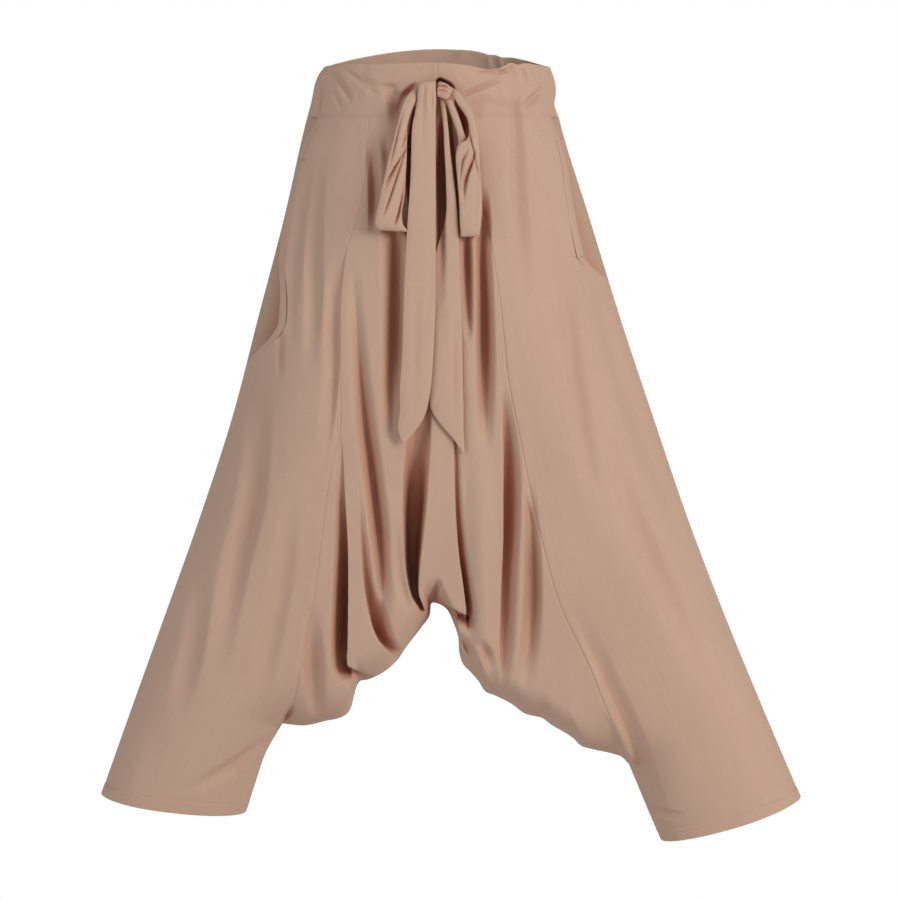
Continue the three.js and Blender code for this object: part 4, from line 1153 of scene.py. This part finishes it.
# %% Layers of the waistband
def band_layer(angle, end_distance, inside, shares):
    """One layer of the band, at the shares down from its top edge."""
    front = np.cos(angle) >= 0
    on_right = np.sin(angle) < 0
    rise = np.where(front, 0, BACK_RISE)
    flat_x = np.where(on_right, SECTION["right"][0], SECTION["left"][0]) * np.sin(angle)
    dip = np.where(front, smooth(TOP_DIP["front"], "x", "drop", flat_x),
                   smooth(TOP_DIP["back"], "x", "drop", flat_x))
    top = SIDE_DIP - (SIDE_DIP + rise) * np.cos(angle) ** 2 + dip
    drop = mix(top, BAND_DROP, shares[:, None])
    bulge = np.where(on_right, smooth(BAND_BULGE, "drop", "right", drop),
                     smooth(BAND_BULGE, "drop", "left", drop)) * np.sin(angle) ** 8
    groove = SEAM_GROOVE * np.exp(-((end_distance / BAND_SEAM_WIDTH) ** 2))
    lower = SEAM_GROOVE / 2 * np.exp(-(((BAND_DROP - drop) / BAND_SEAM_WIDTH) ** 2))
    roll = CLOTH * (1 - rounded(drop - top, BAND_EDGE_ROLL))
    lift = bulge - groove - lower - (roll if not inside else inside)
    wide = np.where(on_right, smooth(SECTION, "drop", "right", drop),
                    smooth(SECTION, "drop", "left", drop))
    x = wide * np.sin(angle)
    front_point, front_shade = cloth_point("front", x, drop, NO_EDGE, lift)
    back_point, back_shade = cloth_point("back", x, drop, NO_EDGE, lift)
    # painted shade on the band: from its folds, a little more below the top edge, and along its seams
    shade = np.where(front, front_shade, back_shade) + BAND_SHADE * ramp(drop / BAND_SHADE_DROP)
    shade = np.maximum(shade, SEAM_SHADE * ramp((groove + lower) / SEAM_GROOVE))
    return np.where(front[..., None], front_point, back_point), shade


def band_piece(name, start, end, columns):
    """A length of the band between two angles, its outer layer first and then its inner one."""
    degrees = mix(start, end, column_share(np.linspace(0, 1, columns + 1)))[None, :]
    nearest_end = np.minimum(degrees - start, end - degrees)
    end_distance = np.radians(nearest_end) * SECTION["right"][0]
    parts = [band_layer(np.radians(degrees), end_distance, *layer) for layer in BAND_LAYERS]
    grid, shade = (np.concatenate(part) for part in zip(*parts))
    SURFACES[name] = parts[0][0][::-1]
    piece = grid_piece(f"{name}_cloth", grid, cloth, shade, turned=True)
    describe(piece)
    return piece


# %% Waistband
CENTRE_SEAM_X = 1
seam_angle = math.degrees(math.asin(CENTRE_SEAM_X / SECTION["left"][0]))
BAND_SPANS = {  # from which angle to which, and in how many columns
    "waistband_front_right": (-BAND_SIDE_ANGLE, seam_angle, 190),
    "waistband_front_left": (seam_angle, BAND_SIDE_ANGLE, 190),
    "waistband_back": (BAND_SIDE_ANGLE, 360 - BAND_SIDE_ANGLE, 300),
}
bands = {name: band_piece(name, *span) for name, span in BAND_SPANS.items()}

# %% [markdown]
# ## The tie
#
# A soft flat belt is tied in a bow at the front: a small knot, two loops that hang down and two free
# ends with slanted, curved tips. Each strand is a strip between two edges. A row of its table gives
# where the two edges are, and how far in front of the garment the strip lies, so one table can go
# down a loop, round its end and up behind. The strip is then given two layers, as a turned belt has.

# %% Paths of the tie
STRAND = ["right_x", "right_drop", "left_x", "left_drop", "out", "bow"]
TIE_HALF = 0.6  # half the thickness of the two layers
CRUMPLE = {"tie_tail_front": 0.25, "tie_tail_back": 0.25,  # height of the small swells
           "tie_loop_right": 0.7, "tie_loop_left": 0.7, "tie_knot": 1.3}
CRUMPLE_WIDE = 5
CRUMPLE_LONG = {"tie_knot": 7}
PLAIN_CRUMPLE_LONG = 26
CRUMPLE_LEAN = 0.4  # how far the swells lean across as they go down
LOOP_FRONT = 5  # a loop's creases fade out behind this, so only its front layer has them
LOOP_FADE = 4

FRONT_TAIL = table(STRAND, [
    [-13, 40, -1, 40, 3, 0], [-14, 30, -0.5, 29, 8, 1], [-16, 23.5, 0, 23, 13, 2],
    [-20, 26.5, 0, 25.5, 17, 3], [-22, 34, 0, 33, 18, 3], [-23, 48, 0.5, 47, 17, 2.5],
    [-25.5, 62, 0, 61, 16, 2], [-29, 81, 0, 81, 14, 1.5], [-31, 142, 0, 142, 11, 1],
    [-35, 202, 0, 202, 10, 1],
    [-39, 287, 0, 287, 9, 1], [-41, 348, -2, 338, 9, 1.5], [-44, 398, -4, 374, 9, 1.5],
    [-44, 418, -7, 400, 9, 2], [-46.5, 440, -12, 423, 10, 1], [-44, 453, -21, 441, 9, 0.5],
    [-40, 463, -39, 462, 9, 0]])
BACK_TAIL = table(STRAND, [
    [3, 37, 9, 36, 7, 0], [6, 56, 12, 55, 8, 1], [9, 80, 15, 80, 8, 1], [10, 104, 17, 104, 8, 1],
    [12, 142, 22, 142, 7, 1], [12, 185, 26.5, 185, 6, 1], [2, 222, 28.5, 220, 5, 1],
    [-8, 263, 30, 263, 4, 1], [-9, 311, 32, 311, 4, 1], [-9, 360, 33, 384, 4, 1.5],
    [-8, 395, 34, 425, 4, 1.5], [-6, 420, 34, 445, 4, 1], [6, 439, 34.5, 460, 4, 0.5],
    [20, 455, 35, 470, 4, 0.5], [33, 474, 35, 476, 4, 0]])
LOOPS = {
    "right": table(STRAND, [
        [-17, 29, -13, 37, 7, 0], [-26, 32, -18, 39, 11, 1], [-35, 41, -23.5, 46, 14, 2],
        [-41.5, 54, -29.5, 59, 15, 3], [-46.5, 73, -34, 75, 15, 3], [-51, 90, -35, 90, 15, 3],
        [-58, 117, -35.5, 117, 14, 3],
        [-68, 164, -38, 162, 13, 3], [-72, 181, -41, 180, 13, 3], [-73.5, 193, -40, 194, 13, 2],
        [-71, 200, -35, 202, 11, 1], [-68, 202, -34, 204, 7, 0], [-66, 197, -33, 199, 3, 0],
        [-63, 178, -33, 178, 2, 0], [-56, 145, -36, 145, 2, 0], [-46, 100, -35, 100, 3, 0],
        [-34, 56, -27, 56, 4, 0], [-24, 40, -20, 42, 5, 0]]),
    "left": table(STRAND, [
        [15, 34, 18, 29, 9, 0], [21, 41, 27, 35, 13, 1], [27, 51, 35.5, 47, 15, 2],
        [34, 61, 42.5, 58, 15, 2], [38.5, 70, 47, 69, 15, 2], [40, 84, 50.5, 85, 14, 2],
        [37, 93, 52, 97, 14, 2], [27, 99, 53, 108, 14, 3], [24, 116, 53.5, 126, 14, 3],
        [26, 142, 55, 143, 13, 3], [28, 168, 56, 168, 12, 2],
        [29, 192, 55, 191, 12, 2], [30, 206, 53, 205, 11, 1], [30, 210, 53, 209, 8, 0],
        [31, 206, 52, 205, 4, 0], [30, 180, 53, 180, 3, 0], [28, 140, 50, 140, 4, 0],
        [27, 112, 41, 107, 5, 0], [27, 98, 38, 95, 6, 1], [25.5, 85, 33.5, 83, 8, 1.5],
        [19.5, 68, 28, 65, 9, 2], [14.5, 53, 21.5, 49, 10, 2], [10, 45, 16, 41, 9, 1],
        [7, 39, 12, 37, 8, 0]]),
}
print("rows in each path:", len(FRONT_TAIL["out"]), len(BACK_TAIL["out"]),
      *(len(loop["out"]) for loop in LOOPS.values()))

# %% Creases of the tie
TIE_CREASES = {
    "tie_loop_right": [
        [[-30, 90, 0, 2, 3, 0], [-42, 112, 5, 1.2, 4, 0], [-54, 132, 6, 1.2, 5, 0],
         [-64, 154, 0, 2, 4, 0]],
        [[-35, 122, 0, 2, 3, 0], [-41, 156, 5, 1.2, 4, 0], [-47, 184, 6, 1.2, 4, 0],
         [-52, 199, 0, 2, 3, 0]],
        [[-34, 96, 0, 2, 3, 0], [-46, 132, 4, 1.2, 3.5, 0], [-58, 168, 4, 1.2, 3.5, 0],
         [-66, 190, 0, 2, 3, 0]],
        [[-30, 60, 0, 2, 3, 0], [-37, 86, 4, 1.5, 4, 0], [-45, 114, 0, 2, 3, 0]],
        [[-40, 58, 0, 2, 3, 0], [-49, 96, 3, 1.2, 3, 0], [-58, 132, 0, 2, 3, 0]],
        [[-34, 132, 0, 3, 2, 0], [-37, 160, 4, 4, 1.5, 0], [-40, 186, 0, 3, 2, 0]]],
    "tie_loop_left": [
        [[48, 104, 0, 3, 3, 0], [45, 120, 6, 6, 1.2, 0], [38, 142, 7, 7, 1.2, 0], [33, 168, 0, 4, 3, 0]],
        [[36, 70, 0, 2, 2, 0], [42, 90, 3, 3, 1.5, 0], [50, 128, 2, 3, 1.5, 0], [54, 156, 0, 2, 2, 0]],
        [[40, 104, 0, 3, 2, 0], [33, 120, 4, 4, 1.5, 0], [29, 146, 0, 3, 2, 0]],
        [[48, 130, 0, 3, 3, 0], [49, 170, 1.2, 4, 3, 0], [47, 205, 0, 3, 3, 0]]],
    "tie_tail_front": [
        [[-13, 24, 0, 3, 3, 0], [-15, 40, 2, 3, 5, 0], [-17, 80, 1, 5, 7, 0], [-17, 160, 0, 6, 7, 0]],
        [[-4, 26, 0, 2, 2, 0], [-5, 44, 1.6, 3, 3, 0], [-6, 74, 0, 3, 3, 0]],
        [[-24, 250, 0, 8, 8, 0], [-25, 350, 1.3, 9, 9, 0], [-27, 440, 0, 8, 8, 0]]],
    "tie_tail_back": [
        [[6, 60, 0, 8, 4, 0], [4, 100, 5, 9, 5, 0], [6, 150, 9, 12, 5, 0], [8, 200, 8, 14, 5, 0],
         [6, 260, 3, 12, 8, 0], [4, 330, 0, 10, 10, 0]],
        [[22, 300, 0, 5, 5, 0], [21, 380, 1.6, 5, 6, 0], [22, 440, 0, 4, 4, 0]]],
    "tie_knot": [
        [[-2, 31, 0, 2, 2, 0], [5, 27.5, 2.2, 2.4, 1.2, 0], [12, 29, 2.2, 2.4, 1.2, 0],
         [19, 36, 0, 2, 2, 0]],
        [[-2, 36, 0, 2, 2, 0], [5, 33, 2, 2.4, 1.2, 0], [11, 34, 1.8, 2.4, 1.2, 0], [17, 40, 0, 2, 2, 0]],
        [[3, 40, 0, 2, 2, 0], [8, 38, 1.4, 2, 1.2, 0], [13, 40, 0, 2, 2, 0]]],
}
CREASE_SHADE = {"tie_knot": 8}  # depth at which a crease's painted shade is at its deepest
PLAIN_CREASE_SHADE = 9
print(sum(len(lines) for lines in TIE_CREASES.values()), "creases")


# %% Surface of a strand
def strand_surface(name, rows, count, columns):
    """The middle of a strand as a grid of points with its lengthwise creases pressed in, and how much
    painted shade each point gets from them."""
    rows = {**rows, "i": np.arange(len(rows["out"]), dtype=float)}
    at = np.linspace(0, rows["i"][-1], count)
    value = {key: smooth(rows, "i", key, at)[:, None] for key in STRAND}
    t = np.linspace(0, 1, columns + 1)[None, :]
    x = mix(value["right_x"], value["left_x"], t)
    drop = mix(value["right_drop"], value["left_drop"], t)
    lines = [fold_line(line) for line in TIE_CREASES.get(name, [])]
    depth, _ = fold_pull(lines, x, drop)
    outer_layer = ramp((value["out"] - LOOP_FRONT) / LOOP_FADE) if name.startswith("tie_loop") else 1
    # painted shade in the creases of the front layer
    shade = ramp(depth / CREASE_SHADE.get(name, PLAIN_CREASE_SHADE)) * outer_layer
    out = value["out"] + value["bow"] * 4 * t * (1 - t) - depth * outer_layer
    long = CRUMPLE_LONG.get(name, PLAIN_CRUMPLE_LONG)
    out = out + CRUMPLE[name] * swell(17, x + drop * CRUMPLE_LEAN, drop, CRUMPLE_WIDE, long)
    front = smooth(SECTION, "drop", "front", drop)
    return np.stack([x, -(front + out), -drop], -1), shade


def grid_normals(grid):
    """The direction across the sheet at each point of a grid."""
    return unit(np.cross(np.gradient(grid, axis=1), np.gradient(grid, axis=0)))


flat = np.zeros((3, 3, 3))
flat[..., :2] = np.stack(np.meshgrid(np.arange(3), np.arange(3)), -1)
print("the normal of a flat grid is", grid_normals(flat)[1, 1])


# %% Strands
def strand_piece(name, rows, count, columns):
    """A strand with two layers and rounded edges."""
    middle, shade = strand_surface(name, rows, count, columns)
    across = np.linspace(-1, 1, columns + 1)[None, :, None]
    ends = np.minimum(np.arange(count), np.arange(count)[::-1])[:, None, None]
    half = TIE_HALF * np.sqrt(1 - across**8) * np.clip(0.1 + ends / 2, 0, 1)
    normals = grid_normals(middle)
    around = np.concatenate([middle - normals * half, (middle + normals * half)[:, -2:0:-1]], 1)
    around = np.concatenate([around, around[:, :1]], 1)
    shade = np.concatenate([shade, shade[:, -2:0:-1], shade[:, :1]], 1)
    piece = grid_piece(f"{name}_cloth", around, tie_cloth, shade)
    describe(piece)
    return piece


tie = {
    "tie_tail_front": strand_piece("tie_tail_front", FRONT_TAIL, 300, 24),
    "tie_tail_back": strand_piece("tie_tail_back", BACK_TAIL, 300, 24),
    "tie_loop_right": strand_piece("tie_loop_right", LOOPS["right"], 260, 30),
    "tie_loop_left": strand_piece("tie_loop_left", LOOPS["left"], 260, 30),
}

# %% Knot
KNOT = table(STRAND, [
    [-2, 37, -1, 28, 8, 0], [0, 39, 1, 25, 14, 1], [3, 41, 5, 23.5, 17, 2], [9, 43.5, 12, 25, 18, 2.5],
    [14, 43.5, 18, 29.5, 16.5, 2], [17, 42, 21, 33, 12, 1], [18, 41, 22, 36, 6, 0]])
KNOT_ROWS, KNOT_COLUMNS = 70, 44
KNOT_PLEATS = 2.6
KNOT_PLEAT_DEPTH = 0.5
KNOT_PLEAT_SWAY = 0.16  # how far the pleats sway to the side on their way over the knot


def knot_piece(name):
    """The knot: the belt wrapped once over itself, with the creases of its pull."""
    surface, shade = strand_surface(name, KNOT, KNOT_ROWS, KNOT_COLUMNS)
    t = np.linspace(0, 1, KNOT_COLUMNS + 1)[None, :]
    s = np.linspace(0, 1, KNOT_ROWS)[:, None]
    pleats = np.sin((t + KNOT_PLEAT_SWAY * np.sin(s * 5)) * math.pi * 2 * KNOT_PLEATS)
    surface[..., 1] += KNOT_PLEAT_DEPTH * pleats * np.sin(s * math.pi)
    normals = grid_normals(surface)
    around = np.concatenate([surface, (surface + normals * TIE_HALF * 2)[:, ::-1]], 1)
    around = np.concatenate([around, around[:, :1]], 1)
    shade = np.concatenate([shade, shade[:, ::-1], shade[:, :1]], 1)
    piece = grid_piece(f"{name}_cloth", around, tie_cloth, shade)
    describe(piece)
    return piece


tie["tie_knot"] = knot_piece("tie_knot")

# %% [markdown]
# ## Stitching
#
# A machine stitch shows as a short thread that dips into the cloth at both ends. Each seam's row of
# stitches follows a line that is measured in from the edge it holds, so a small node tree can do the
# sewing: it walks along the line, puts one short thread at each step and turns it to point along the
# line. The instances are then made real, because a file of the finished garment can't hold them.

# %% Lines to sew along
STITCH_RISE = 0.12  # how far the middle of a thread stands off the cloth


def inset_line(grid, inset, outward):
    """Points a distance in from a grid's last row, one on each column, lifted just off the cloth."""
    ahead = grid[::-1]
    reach = np.concatenate([
        np.zeros((1, grid.shape[1])), np.cumsum(np.linalg.norm(np.diff(ahead, axis=0), axis=-1), 0)])
    after = np.clip((reach < inset).sum(0), 1, len(grid) - 1)
    column = np.arange(grid.shape[1])
    start, end = reach[after - 1, column], reach[after, column]
    t = ((inset - start) / (end - start))[:, None]
    normals = grid_normals(ahead)[after, column]
    normals *= np.sign(normals @ np.array(outward, float))[:, None]
    return mix(ahead[after - 1, column], ahead[after, column], t) + normals * STITCH_RISE


HEM_STITCH = HEM_TURN - 2  # distances in from each edge
POCKET_STITCH = 4
BAND_STITCH = 3
CENTRE_STITCH = 4
POCKET_STITCH_BEYOND = 22  # how far the pocket's stitches go on below its end
SEWN = {"stitches_waistband": [], "stitches_hems": [], "stitches_pockets": []}
for name, leg in LEGS.items():
    for face, forward in (("front", -1), ("back", 1)):
        SEWN["stitches_hems"].append(inset_line(SURFACES[name, face], HEM_STITCH, (0, forward, 0)))
    edge = inset_line(SURFACES[name, "front"].swapaxes(0, 1), POCKET_STITCH, (leg["side"], -0.6, 0))
    drops = -edge[:, 2]
    last = POCKETS[name]["end"] + POCKET_STITCH_BEYOND
    SEWN["stitches_pockets"].append(edge[(drops > BAND_DROP + 1) & (drops < last)])
front_bands = {"waistband_front_right": 1, "waistband_front_left": -1}
for name in bands:
    forward = 1 if name == "waistband_back" else -1
    SEWN["stitches_waistband"].append(inset_line(SURFACES[name], BAND_STITCH, (0, forward, 0)))
for name, step in front_bands.items():
    centre = SURFACES[name][::-1, ::step].swapaxes(0, 1)
    SEWN["stitches_waistband"].append(inset_line(centre, CENTRE_STITCH, (0, -1, 0))[2:-2])
print({name: len(lines) for name, lines in SEWN.items()})

# %% Bar tacks
TACK_DROPS = {"right": 118, "left": 236}
TACK_WIDTH = 9
TACK_GAP = 0.55
TACK_LINES = 4
TACK_POINTS = 8


def tack_lines(name, drop):
    """A few close rows across a pocket's edge, where it takes the most pull."""
    side = LEGS[name]["side"]
    rows = []
    for k in range(TACK_LINES):
        at = drop + k * TACK_GAP
        edge_x = smooth(POCKETS[name]["edge"], "drop", "x", at)
        x = side * np.linspace(edge_x - TACK_WIDTH, edge_x - 1, TACK_POINTS)
        lift = STITCH_RISE + POCKET_LIFT * ramp(1 - (edge_x - np.abs(x)) / POCKET_LIFT_WIDTH)
        lift = lift * ramp((at - BAND_DROP) / POCKET_LIFT_START)
        rows.append(cloth_point("front", x, np.full(TACK_POINTS, at), NO_EDGE, lift)[0])
    return rows


for name, drop in TACK_DROPS.items():
    SEWN["stitches_pockets"] += tack_lines(name, drop)
print(len(TACK_DROPS) * TACK_LINES, "lines of bar tacks")


# %% Stitch tree
STITCH_LENGTH = 2.4
STITCH_STEP = 3.2
STITCH_THICKNESS = 0.42


def stitch_tree():
    """A node tree that walks along a line and lays one short thread at each step."""
    tree = bpy.data.node_groups.new("stitches along a line", "GeometryNodeTree")
    socket(tree, "Geometry", "NodeSocketGeometry", "INPUT")
    socket(tree, "Step", "NodeSocketFloat", "INPUT", STITCH_STEP * MM)
    socket(tree, "Length", "NodeSocketFloat", "INPUT", STITCH_LENGTH * MM)
    socket(tree, "Thickness", "NodeSocketFloat", "INPUT", STITCH_THICKNESS * MM)
    socket(tree, "Thread", "NodeSocketMaterial", "INPUT")
    socket(tree, "Geometry", "NodeSocketGeometry", "OUTPUT")
    nodes, link = tree.nodes, tree.links.new
    start, end = nodes.new("NodeGroupInput"), nodes.new("NodeGroupOutput")
    curve = nodes.new("GeometryNodeMeshToCurve")
    link(start.outputs["Geometry"], curve.inputs["Mesh"])
    evenly = nodes.new("GeometryNodeCurveToPoints")
    evenly.mode = "LENGTH"
    link(curve.outputs["Curve"], evenly.inputs["Curve"])
    link(start.outputs["Step"], evenly.inputs["Length"])
    thread = nodes.new("GeometryNodeMeshUVSphere")
    thread.inputs["Segments"].default_value = 6
    thread.inputs["Rings"].default_value = 5
    thread.inputs["Radius"].default_value = 0.5
    size = nodes.new("ShaderNodeCombineXYZ")
    link(start.outputs["Thickness"], size.inputs["X"])
    link(start.outputs["Thickness"], size.inputs["Y"])
    link(start.outputs["Length"], size.inputs["Z"])
    place = nodes.new("GeometryNodeInstanceOnPoints")
    link(evenly.outputs["Points"], place.inputs["Points"])
    link(thread.outputs["Mesh"], place.inputs["Instance"])
    turn = nodes.new("FunctionNodeAlignRotationToVector")
    turn.axis = "Z"
    link(evenly.outputs["Tangent"], turn.inputs["Vector"])
    link(turn.outputs["Rotation"], place.inputs["Rotation"])
    link(size.outputs[0], place.inputs["Scale"])
    real = nodes.new("GeometryNodeRealizeInstances")
    link(place.outputs["Instances"], real.inputs["Geometry"])
    dressed = nodes.new("GeometryNodeSetMaterial")
    link(real.outputs["Geometry"], dressed.inputs["Geometry"])
    link(start.outputs["Thread"], dressed.inputs["Material"])
    link(dressed.outputs["Geometry"], end.inputs["Geometry"])
    return tree


stitches_along = stitch_tree()
print("the stitch tree has", len(stitches_along.nodes), "nodes")


# %% Sewing one kind of stitch
def sew(name, lines, tree, thread):
    """Run the tree along some lines and keep what it makes as one plain mesh."""
    points = np.concatenate(lines)
    edges, first = [], 0
    for line in lines:
        edges += [(first + k, first + k + 1) for k in range(len(line) - 1)]
        first += len(line)
    guide_mesh = bpy.data.meshes.new(name + "_guide")
    guide_mesh.from_pydata((points * MM).tolist(), edges, [])
    guide = bpy.data.objects.new(name + "_guide", guide_mesh)
    bpy.context.scene.collection.objects.link(guide)
    modifier = guide.modifiers.new("stitches", "NODES")
    modifier.node_group = tree
    inputs = {item.name: item.identifier for item in tree.interface.items_tree if item.in_out == "INPUT"}
    modifier[inputs["Thread"]] = thread
    evaluated = guide.evaluated_get(bpy.context.evaluated_depsgraph_get())
    mesh = bpy.data.meshes.new_from_object(evaluated)
    mesh.name = name
    mesh.shade_smooth()
    bpy.data.objects.remove(guide)
    piece = bpy.data.objects.new(name, mesh)
    bpy.context.scene.collection.objects.link(piece)
    print(name, len(mesh.polygons), "faces")
    return piece


# %% Thread
def thread_material():
    """Matt cotton thread, a shade deeper than the cloth, with its two plies as fine slanted ridges and
    painted shade in the grooves between them.
    """
    material = bpy.data.materials.new("sewing thread")
    material.use_nodes = True
    nodes, links = material.node_tree.nodes, material.node_tree.links
    shader = nodes["Principled BSDF"]
    shader.inputs["Roughness"].default_value = 0.7
    shader.inputs["Sheen Weight"].default_value = 0.2
    place = nodes.new("ShaderNodeTexCoord")
    plies = nodes.new("ShaderNodeTexWave")
    plies.bands_direction = "DIAGONAL"
    plies.inputs["Scale"].default_value = 900.0
    links.new(place.outputs["Object"], plies.inputs["Vector"])
    # painted shade: the thread's colour is darker where the ply ridges are low
    ply_groove_shade = nodes.new("ShaderNodeMix")
    ply_groove_shade.data_type = "RGBA"
    ply_groove_shade.inputs[6].default_value = (0.40, 0.26, 0.185, 1)
    ply_groove_shade.inputs[7].default_value = (0.50, 0.33, 0.24, 1)
    links.new(plies.outputs["Fac"], ply_groove_shade.inputs["Factor"])
    links.new(ply_groove_shade.outputs[2], shader.inputs["Base Color"])
    bump = nodes.new("ShaderNodeBump")
    bump.inputs["Distance"].default_value = 0.00005
    links.new(plies.outputs["Fac"], bump.inputs["Height"])
    links.new(bump.outputs[0], shader.inputs["Normal"])
    return material


thread = thread_material()
print(thread.name)

# %% Sew
stitches = [sew(name, lines, stitches_along, thread) for name, lines in SEWN.items()]

# %% [markdown]
# ## Putting each piece in place of its solid
#
# Each piece rides on the garment's one body and stands for its solid in the frame, which is hidden.


def declare(piece, node):
    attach(piece, "root")
    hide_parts(node)


declare(centre_panel, "centre_panel")
for (name, face), piece in legs.items():
    declare(piece, f"leg_{face}_{name}")
for name, piece in facings.items():
    declare(piece, f"pocket_facing_{name}")
for name, piece in bands.items():
    declare(piece, name)
for name, piece in tie.items():
    declare(piece, name)

for piece in stitches:
    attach(piece, "root")
print(len(stitches) + len(tie) + len(bands) + len(facings) + len(legs) + 1, "pieces declared")
